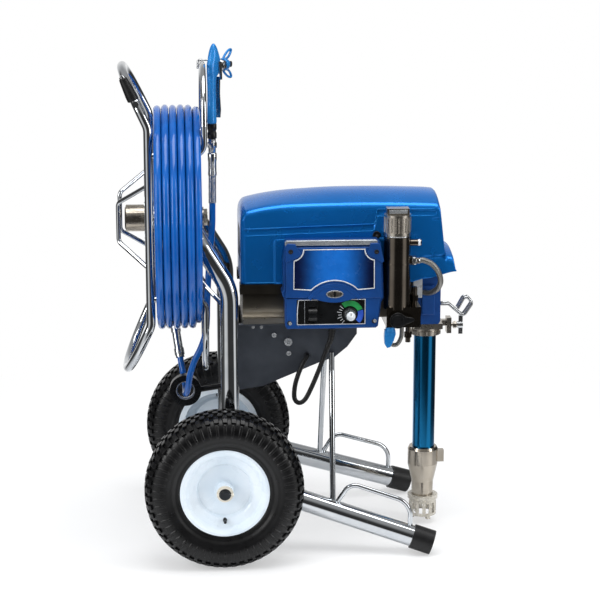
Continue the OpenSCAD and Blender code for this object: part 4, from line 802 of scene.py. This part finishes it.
ring_sector("dial_high", 267, 507, 17, 28.5, 22, 128, -143.25, GREEN)
ring_sector("dial_mid", 267, 507, 17, 28.5, -44, 18, -143.25, DIAL_BLUE)
tick_points, tick_faces = [], []
for k in range(7):
    a = math.radians(140 + 15 * k)
    d, s = Vector((math.cos(a), math.sin(a))), Vector((-math.sin(a), math.cos(a))) * 0.45
    base = len(tick_points)
    for y in (-143.05, -143.3):
        for r, q in ((17.5, -1), (24 if k % 2 else 27, -1), (24 if k % 2 else 27, 1), (17.5, 1)):
            p = d * r + s * q
            tick_points.append(at(267 + p.x, y, 507 + p.y))
    tick_faces += [(base, base + 1, base + 2, base + 3), (base + 7, base + 6, base + 5, base + 4)]
    tick_faces += [(base + i, base + (i + 1) % 4, base + 4 + (i + 1) % 4, base + 4 + i) for i in range(4)]
add_mesh("dial_ticks", tick_points, tick_faces, WHITE_INK, "frame", smooth=False)
dial_axis = at(267, -143.9, 507)
turned("knob_skirt", [(8.2, -0.5), (14.2, -0.5), (14.4, 1.0), (13.6, 4.4), (12.0, 5.4), (10.2, 5.6),
                      (10.2, 20.4), (9.4, 22.0), (8.2, 22.0)],
       dial_axis, (0, -1, 0), BLACK_PLASTIC, "knob")
turned("knob_face", [(0.0, 24.0), (0.0, 25.5), (6.6, 25.5), (8.4, 24.8), (8.9, 23.4), (8.9, 21.0),
                     (6.0, 21.0)],
       dial_axis, (0, -1, 0), KNOB_WHITE, "knob")
plate("knob_mark", [(266.3, 508), (267.7, 508), (267.7, 514.4), (266.3, 514.4)], -169.0, -169.7,
      BLACK_PLASTIC, "knob", 0.0002)


def cut_box(o, x0, x1, y0, y1, z0, z1):
    """Take a square pocket out of a plate and keep the result as its mesh."""
    points = [at(x, y, z) for x in (x0, x1) for y in (y0, y1) for z in (z0, z1)]
    faces = [(0, 1, 3, 2), (4, 6, 7, 5), (0, 4, 5, 1), (2, 3, 7, 6), (0, 2, 6, 4), (1, 5, 7, 3)]
    tool = add_mesh("pocket", points, faces, BLACK_PLASTIC, None, smooth=False)
    m = o.modifiers.new("pocket", "BOOLEAN")
    m.object = tool
    m.solver = "EXACT"
    o.modifiers.move(len(o.modifiers) - 1, 0)
    bpy.context.view_layer.update()
    edges = [e for e in o.modifiers if e.type == "BEVEL"]
    for e in edges:
        e.show_viewport = False
    shape = bpy.data.meshes.new_from_object(o.evaluated_get(bpy.context.evaluated_depsgraph_get()))
    for e in edges:
        e.show_viewport = True
    o.modifiers.remove(m)
    o.data = shape
    bpy.data.objects.remove(tool)


box_side = [(134, 661), (131.5, 640), (128, 618), (129, 560), (125, 553), (127, 546), (131.5, 541),
            (132.5, 481), (137, 476),
            (322, 476), (326.5, 480), (332.5, 531), (337.5, 541), (337, 560), (334.5, 612), (337, 619),
            (330.5, 656), (326.5, 661)]
panel_pocket = (156, 299, -120, -160, 486, 539)
box_body = plate("box_body", box_side, -96, -141.5, BOX_BLUE, None, 0.003)
cut_box(box_body, *panel_pocket)
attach(box_body, "frame")
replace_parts(box_body, "control_box")
box_low = plate("box_lower_face", [(134.5, 542), (135, 484), (139, 479), (320, 479), (324, 483), (329.5, 532),
                                   (332, 542)], -141, -146.2,
                BOX_BLUE, None, 0.0016)
cut_box(box_low, *panel_pocket)
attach(box_low, "frame")
plate("box_upper_face", [(137, 650), (134, 618), (133.5, 560), (132, 544), (334, 541.5), (332.5, 560),
                         (330.5, 612), (325, 650)],
      -141, -149.6, BOX_BLUE, bevel=0.0018)
horn_left = [(133.5, 655), (137.5, 658.8), (153, 657.8), (157, 648), (165, 637), (161.5, 631), (150.5, 626.4),
             (132, 619)]
horn_right = [(308, 657.8), (325.5, 658.4), (329, 654), (336.6, 620), (332, 616.5), (316, 626.4), (305, 631),
              (301.5, 637), (306, 647)]
for name, horn in (("box_horn_left", horn_left), ("box_horn_right", horn_right)):
    plate(name, horn, -145, -152.6, BOX_BLUE, bevel=0.0014)
for i, (x, z, y) in enumerate(((140.8, 490, -146.2), (317.5, 491.5, -146.2), (143.2, 642, -152.6),
                               (321, 640, -152.6))):
    turned("box_screw_%d" % i, [(0, 0.15), (2.6, 0.15), (2.9, 0.5), (4.4, 0.7), (4.9, 0.5), (5.0, 0)],
           at(x, y, z), (0, -1, 0),
           BLACK_RUBBER, "frame", 32)

# ---------- leads and small hoses ----------

lead_line = catmull([at(*p) for p in (
    (232, -112, 475), (232, -112, 463), (230, -111, 446), (222, -110, 425), (206, -108, 380),
    (190, -106, 340),
    (176, -105, 313), (163, -104, 306), (154, -103, 316), (155, -102, 342), (163, -101, 370), (173, -99, 392),
    (181, -94, 405), (182, -88, 406), (182, -83, 406))], 8)
lead = tube("power_lead_line", lead_line, 0.010, BLACK_RUBBER, "frame", 16)
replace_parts(lead, "power_lead")
relief = swept("lead_relief", lead_line[:26],
               [(0.0085 - 0.0028 * i / 25) * (1.0 if i % 3 else 0.86) for i in range(26)],
               BLACK_RUBBER, "frame", 20)


def braid(name, dark, light, strands, pitch):
    """Crossed wires, drawn along a tube's own UVs."""
    t = Tree(name)
    place = t.split(t.add("ShaderNodeTexCoord").outputs["UV"])
    waves = []
    for sign in (1, -1):
        around = t.math("MULTIPLY", place[0], strands * 2 * math.pi * sign)
        waves.append(t.math("SINE", t.math("MULTIPLY_ADD", place[1], 2 * math.pi / pitch, around)))
    top = t.math("MAXIMUM", *waves)
    t.put("Base Color", t.mix(t.remap(top, -0.6, 1.0, 0, 1), colour(dark), colour(light)))
    t.put("Metallic", 0.9)
    t.put("Roughness", t.uneven(200, 0.26, 0.4, 3))
    t.put("Normal", t.bump(top, 0.5, 0.0004))
    return t.material


BRAID = braid("braided_wire", "#3a3936", "#a5a39e", 9, 0.006)
braid_x, filter_y = 413, -124.5
braid_line = catmull([at(*p) for p in (
    (braid_x, filter_y, 615), (braid_x + 10, filter_y, 615), (braid_x + 28, filter_y + 2, 606),
    (braid_x + 42, filter_y + 6, 588), (braid_x + 48, filter_y + 14, 566), (braid_x + 44, filter_y + 34, 546),
    (braid_x + 34, filter_y + 54, 534), (braid_x + 24, -54, 530), (braid_x + 24, -42, 530))], 8)
braided = swept("braided_line", braid_line, 0.006, BRAID, "frame", 24)
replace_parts(braided, "braided_hose")
drain_line = catmull([at(*p) for p in (
    (380, -112.5, 478), (380, -112.5, 468), (379, -111.5, 448), (371, -109.5, 432), (359, -108.5, 432),
    (352, -107.5, 448), (351, -106.5, 468), (351, -106.5, 478))], 8)
drain = swept("drain_line", drain_line, 0.0045, BRAID, "frame", 20)
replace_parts(drain, "drain_hose")


def spring(name, a, b, radius, wire, pitch, material, body):
    axis = (b - a).normalized()
    u = axis.orthogonal().normalized()
    v = axis.cross(u)
    span = (b - a).length
    steps = 18
    count = int(span / pitch * steps)
    line = [a + axis * (wire / 2 + (span - wire) * i / count) + spoke(u, v, 2 * math.pi * i / steps) * radius
            for i in range(count + 1)]
    return tube(name, line, wire, material, body, 8)


wound = spring("guard_spring", guard_from, guard_to, 0.0078, 0.0016, 0.0025, STEEL, "reel")
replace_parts(wound, "spring_guard")
turned("guide_liner", [(20.9, -8.5), (19.4, -9.5), (18.2, -6), (17.8, 0), (18.2, 6), (19.4, 9.5),
                       (20.9, 8.5)],
       at(-76, 0, 311), (0, 1, 0), SILVER, "frame", 72)


# ---------- shroud ----------

def smooth(a, b, x):
    t = min(1.0, max(0.0, (x - a) / (b - a)))
    return t * t * (3 - 2 * t)


def between(points, x):
    """Height of a line of points at x."""
    for (x0, z0), (x1, z1) in zip(points, points[1:]):
        if x <= x1:
            return z0 + (z1 - z0) * max(0.0, (x - x0) / (x1 - x0))
    return points[-1][1]


crown = [(p.x, p.z) for p in catmull([Vector((x, 0, z)) for x, z in (
    (42, 704), (43.4, 714), (47.5, 722), (54, 727.5), (68, 731.5), (102, 738.5), (152, 745), (242, 750.6),
    (342, 750.6),
    (420, 748.2), (444, 746.4), (450, 744.6), (453.4, 739), (456.5, 715), (461.5, 672), (465.5, 637),
    (468, 631.5),
    (474, 629), (481, 626.5), (483.5, 622), (486.5, 598), (489.2, 577))], 6)]


def groove_low(x):
    step = smooth(321, 329, x)
    return 665 + 8 * min(1, max(0, (x - 46) / 275)) + 31 * step


def relief(x, z, front=True):
    """How far the shroud's side stands out at a place, in millimetres."""
    h = 0.0
    low = groove_low(x)
    inside = smooth(low, low + 1.6, z) * (1 - smooth(low + 13.4, low + 15, z))
    inside *= smooth(47, 49, x) * (1 - smooth(443, 446, x))
    h -= inside * (0.6 + 3.6 * min(1.0, max(0.0, (z - low) / 15)))
    boss = smooth(111, 114.5, x) * (1 - smooth(352, 355.5, x)) * (1 - smooth(655, 658.5, z))
    h += 2.2 * boss * front
    edge = 612 + 0.06 * (x - 440)
    h -= 2.2 * smooth(410, 426, x) * smooth(edge, edge + 2, z) * (1 - smooth(edge + 5, edge + 8, z))
    h -= 1.4 * (1 - smooth(563.5, 566, z))
    h -= 1.5 * smooth(436, 438, x) * (1 - smooth(450, 452, x)) * smooth(694, 695,
        z) * (1 - smooth(699, 700, z))
    return h


def lengthen(x):
    """The shroud's pump end stands a little further out than the rest."""
    return x + 8 * smooth(330, 450, x)


def make_shroud():
    xs = [42 + 12 * (i / 10) ** 1.6 for i in range(10)] + [54 + 2.0 * i for i in range(193)]
    xs += [440 + 14 * i / 8 for i in range(1, 9)] + [454 + 12 * i / 14 for i in range(1, 15)]
    xs += [466 + 23.2 * i / 18 for i in range(1, 19)]
    wall, bow, corner = 84, 10, 12.0
    points, rows = [], []
    for x in xs:
        top = between(crown, x)
        low = 562 + 8 * smooth(394, 425, x) + 14 * smooth(425, 490, x)
        top = max(top, low + 3)
        inset = corner - math.sqrt(max(0.0, corner ** 2 - max(0.0, 54 - x) ** 2))
        half = 94 - inset
        r = min(17.0, (top - low) * 0.45)
        sag = min(16.5, (top - low) * 0.25) * (0.55 + 0.45 * smooth(60, 260, x))
        side_top = top - sag - r
        line, back = [], []
        for k in range(wall + 1):
            z = low + (side_top - low) * k / wall
            line.append((half + relief(x, z), z))
            back.append((half + relief(x, z, False), z))
        for k in range(1, 9):
            a = math.radians(68 * k / 8)
            line.append((half - r + r * math.cos(a), side_top + r * math.sin(a)))
        y1, z1 = line[-1]
        for k in range(1, bow + 1):
            t = k / bow
            y = y1 * (1 - t)
            line.append((y, z1 + (top - z1) * (1 - (y / y1) ** 2)))
        back += line[wall + 1:]
        full = [(-y, z) for y, z in line] + [(y, z) for y, z in reversed(back[:-1])]
        rows.append(len(full))
        points += [at(lengthen(x), y, z) for y, z in full]
    n = rows[0]
    faces = [(j * n + i, j * n + i + 1, (j + 1) * n + i + 1,
              (j + 1) * n + i) for j in range(len(xs) - 1) for i in range(n - 1)]
    for j in (0, len(xs) - 1):
        for i in range(n // 2):
            a, b = j * n + i, j * n + i + 1
            c, d = j * n + n - 2 - i, j * n + n - 1 - i
            faces.append((a, b, c, d) if b != c else (a, b, d))
    o = add_mesh("shroud_shell", points, faces, BLUE_PAINT, None)
    rework(o.data, lambda work: bmesh.ops.remove_doubles(work, verts=work.verts, dist=0.000002), outwards)
    m = o.modifiers.new("wall", "SOLIDIFY")
    m.thickness = 0.0026
    m.offset = -1
    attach(o, "frame")
    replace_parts(o, "shroud")


make_shroud()
for k in range(6):
    y = -43.5 + 16 * k
    slot_box = [at(41.7, y - 4.2, 604), at(41.7, y + 4.2, 604), at(41.7, y + 4.2, 674),
                at(41.7, y - 4.2, 674),
                   at(43.5, y - 4.2, 604), at(43.5, y + 4.2, 604), at(43.5, y + 4.2, 674),
                   at(43.5, y - 4.2, 674)]
    add_mesh("air_slot_%d" % k, slot_box,
             [(0, 3, 2, 1), (4, 5, 6, 7), (0, 1, 5, 4), (1, 2, 6, 5), (2, 3, 7, 6), (3, 0, 4, 7)],
             BLACK_PLASTIC, "frame", smooth=False, bevel=0.0004)
turned("shroud_grommet", [(0, 0), (0, 2.2), (5.2, 2.2), (7.2, 3.2), (8.4, 2.4), (8.4, 0)],
       at(327, -93.4, 664), (0, -1, 0),
       BLACK_RUBBER, "frame", 40)


# Beads in a lighter blue that paints the highlight lines along the shroud's grooves, boss edge and hem.
def bead(name, line, y, width=1.3):
    tube(name, [at(lengthen(x), y, z) for x, z in line], width / 1000, HIGHLIGHT_BLUE, "frame", 12)


run_x = [56 + 5 * i for i in range(54)] + [322 + i for i in range(9)] + [335 + 5 * i for i in range(22)]
boss_line = [(112.6, 566), (112.6, 645)] + arc_points(123.6, 646, 11, 180, 90, 8) + [(130, 657.2),
    (345, 657.2), (353, 657.2)]
for side, s in (("right", -1), ("left", 1)):
    bead("groove_low_" + side, [(x, groove_low(x)) for x in run_x], s * 93.9)
    bead("groove_high_" + side, [(x, groove_low(x) + 15) for x in run_x], s * 93.8)
    bead("hem_" + side, [(x, 565.4) for x in (56, 100, 200, 300, 396)], s * 93.6, 1.6)
bead("boss_edge", boss_line, -95.6)

# ---------- manifold front ----------

cover = arc_points(365, 496, 16.8, 62, 298, 28) + [(383, 488.6), (396, 493.0), (399.5, 496), (399.5, 499.5),
    (396, 502.0), (383, 503.6)]
plate("valve_cover", cover, -163.8, -166.6, BLACK_PLASTIC, bevel=0.0012)
plate("valve_cover_disc", oval(365, 496, 12.8, 12.8, 40), -166.4, -168.0, BLACK_PLASTIC, bevel=0.0008)
turned("outlet_nut", [(6, 0), (9.6, 0), (10.4, 1), (10.4, 9), (9.6, 10), (7.8, 10), (7.8, 17), (6.2, 18),
                      (6, 18)],
       at(397, filter_y, 615), (1, 0, 0), STEEL, "frame", 6)
turned("port_plug", [(0, 0), (0, 13), (5.4, 13), (6.9, 11.6), (6.9, 7), (5.6, 6), (5.6, 0)],
       at(403, filter_y, 653), (1, 0, 0),
       KNOB_WHITE, "frame", 48)
turned("filter_ring", [(27.4, 0), (28.7, 0.4), (28.7, 2.0), (27.4, 2.4)], at(367, filter_y, 668.2), (0, 0, 1),
       STEEL, "frame", 72)
cap_slot = [(348, 716.6), (386, 716.6), (386, 724.4), (348, 724.4)]
plate("cap_face", cap_slot, -138.4, -139.3, SILVER, "cap", bevel=0.0003)

# ---------- gun ----------

gun_turn = math.radians(62)
barrel_z = 1008
gun_top = 1055.8
fore = Vector((math.cos(gun_turn), math.sin(gun_turn), 0))
aside = Vector((-fore.y, fore.x, 0))


def gun_at(x, y, z):
    """A place given along the barrel, across it and up."""
    return at(gun_x, 0, z) + (fore * x + aside * y) / 1000


def gun_shell():
    sections = [(889.6, 0, 9.8, 8.2), (891, 0, 11.2, 9.2), (896, 0, 11.6, 9.4), (905, 0, 11.2, 9.0),
                (940, 0, 10.2, 8.5), (966, 0, 9.8, 8.5),
                (980, 0.4, 10.6, 8.9), (989, 3.4, 13.4, 9.8), (996, 10, 22, 10.5), (1003, 12, 24, 10.8),
                (1012, 12.4, 24, 10.8),
                (1021, 12, 20, 10.6), (1031, 11.6, 15.6, 9.8), (1042, 11, 10.6, 8), (1050, 10.8, 6.4, 5.4),
                (1054.6, 10.6, 3, 2.6),
                (1055.8, 10.6, 0.8, 0.8)]
    n = 32
    knots = [Vector((c, a, b, z)) for z, c, a, b in sections]
    rows = catmull(knots, 4)
    points = []
    for c, a, b, z in rows:
        z = min(z, gun_top)
        for k in range(n):
            u = 2 * math.pi * k / n
            x = math.copysign(abs(math.cos(u)) ** 0.86, math.cos(u))
            y = math.copysign(abs(math.sin(u)) ** 0.86, math.sin(u))
            points.append(gun_at(c + max(a, 0.4) * x, max(b, 0.4) * y, z))
    m = len(rows)
    faces = [(j * n + i, j * n + (i + 1) % n, (j + 1) * n + (i + 1) % n,
              (j + 1) * n + i) for j in range(m - 1) for i in range(n)]
    faces += [tuple(range(n)), tuple(reversed(range((m - 1) * n, m * n)))]
    return add_mesh("gun_shell", points, faces, GUN_BLUE, "reel")


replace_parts(gun_shell(), "gun_body")
turned("gun_nose", [(6, 0), (10, 0), (10, 6), (13, 6.6), (13.4, 8), (13.4, 18), (12.6, 19.6), (6, 19.6)],
       gun_at(30.4, 0, barrel_z), tuple(fore),
       STEEL, "reel", 6)
turned("gun_swivel", [(6.9, 0), (9.4, 0), (10, 1), (10, 12), (8.8, 13), (8.8, 18), (10, 19), (10, 30.6),
                      (9.2, 31.6), (6.9, 31.6)],
       at(gun_x, 0, 858), (0, 0, 1), BLACK_PLASTIC, "reel", 40)
turned("gun_ferrule", [(6.9, 0), (8, 0.6), (8, 29.4), (6.9, 30)], at(gun_x, 0, gun_low), (0, 0, 1), STEEL,
       "reel", 40)
tube("gun_hook", [at(x, 0, z) for x, z in ((-16, 1022.8), (-34, 1022.8), (-38, 1022.2), (-40.4, 1020.2),
                                           (-41.15, 1016.6), (-41.15, 1004.8))],
     0.005, STEEL, "reel", 16)
guard_nut = turned("guard_nut", [(9.6, 0), (13, 0), (13.8, 1), (13.8, 12), (12.6, 13.6), (9.6, 13.6)],
                   gun_at(50.5, 0, barrel_z), tuple(fore),
                   GUN_BLUE, "gun_guard", 12)
for side, s in (("low", -1), ("high", 1)):
    wing = [(57, 11), (59, 15.5), (70, 23), (83, 28.5), (93, 29), (92, 24), (85, 17), (76, 12.5), (66, 11)]
    loop = catmull([gun_at(x, 0, barrel_z + s * z) for x, z in wing + wing[:1]], 6)
    tube("guard_wing_" + side, loop, 0.0052, GUN_BLUE, "gun_guard", 16)
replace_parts(guard_nut, "tip_guard")


turned("swivel_nut", [(7.2, 0), (9.6, 0), (10.4, 1.2), (10.4, 11), (9.6, 12.2), (8.2, 12.4), (8.2, 0)],
       at(gun_x, 0, 838), (0, 0, 1),
       STEEL, "reel", 6, 0.0004)
turned("guard_sleeve", [(7.0, 0), (9.0, 0), (9.3, 2), (9.3, 6), (8.8, 8), (8.8, 30), (9.6, 33), (9.6, 46),
                        (8.6, 48), (7.0, 48)],
       at(gun_x, 0, 779.5), (0, 0, 1), STEEL, "reel", 32)

plate("sensor_block", [(410, 520), (430, 520), (430, 574), (410, 574)], -42.2, -58, EDGE_SILVER, bevel=0.0012)
plate("drive_cover", [(431, 480), (459, 480), (459, 541), (455, 545), (435, 545), (431, 541)], -42.1, -49,
      DRIVE_BLUE, bevel=0.0018)
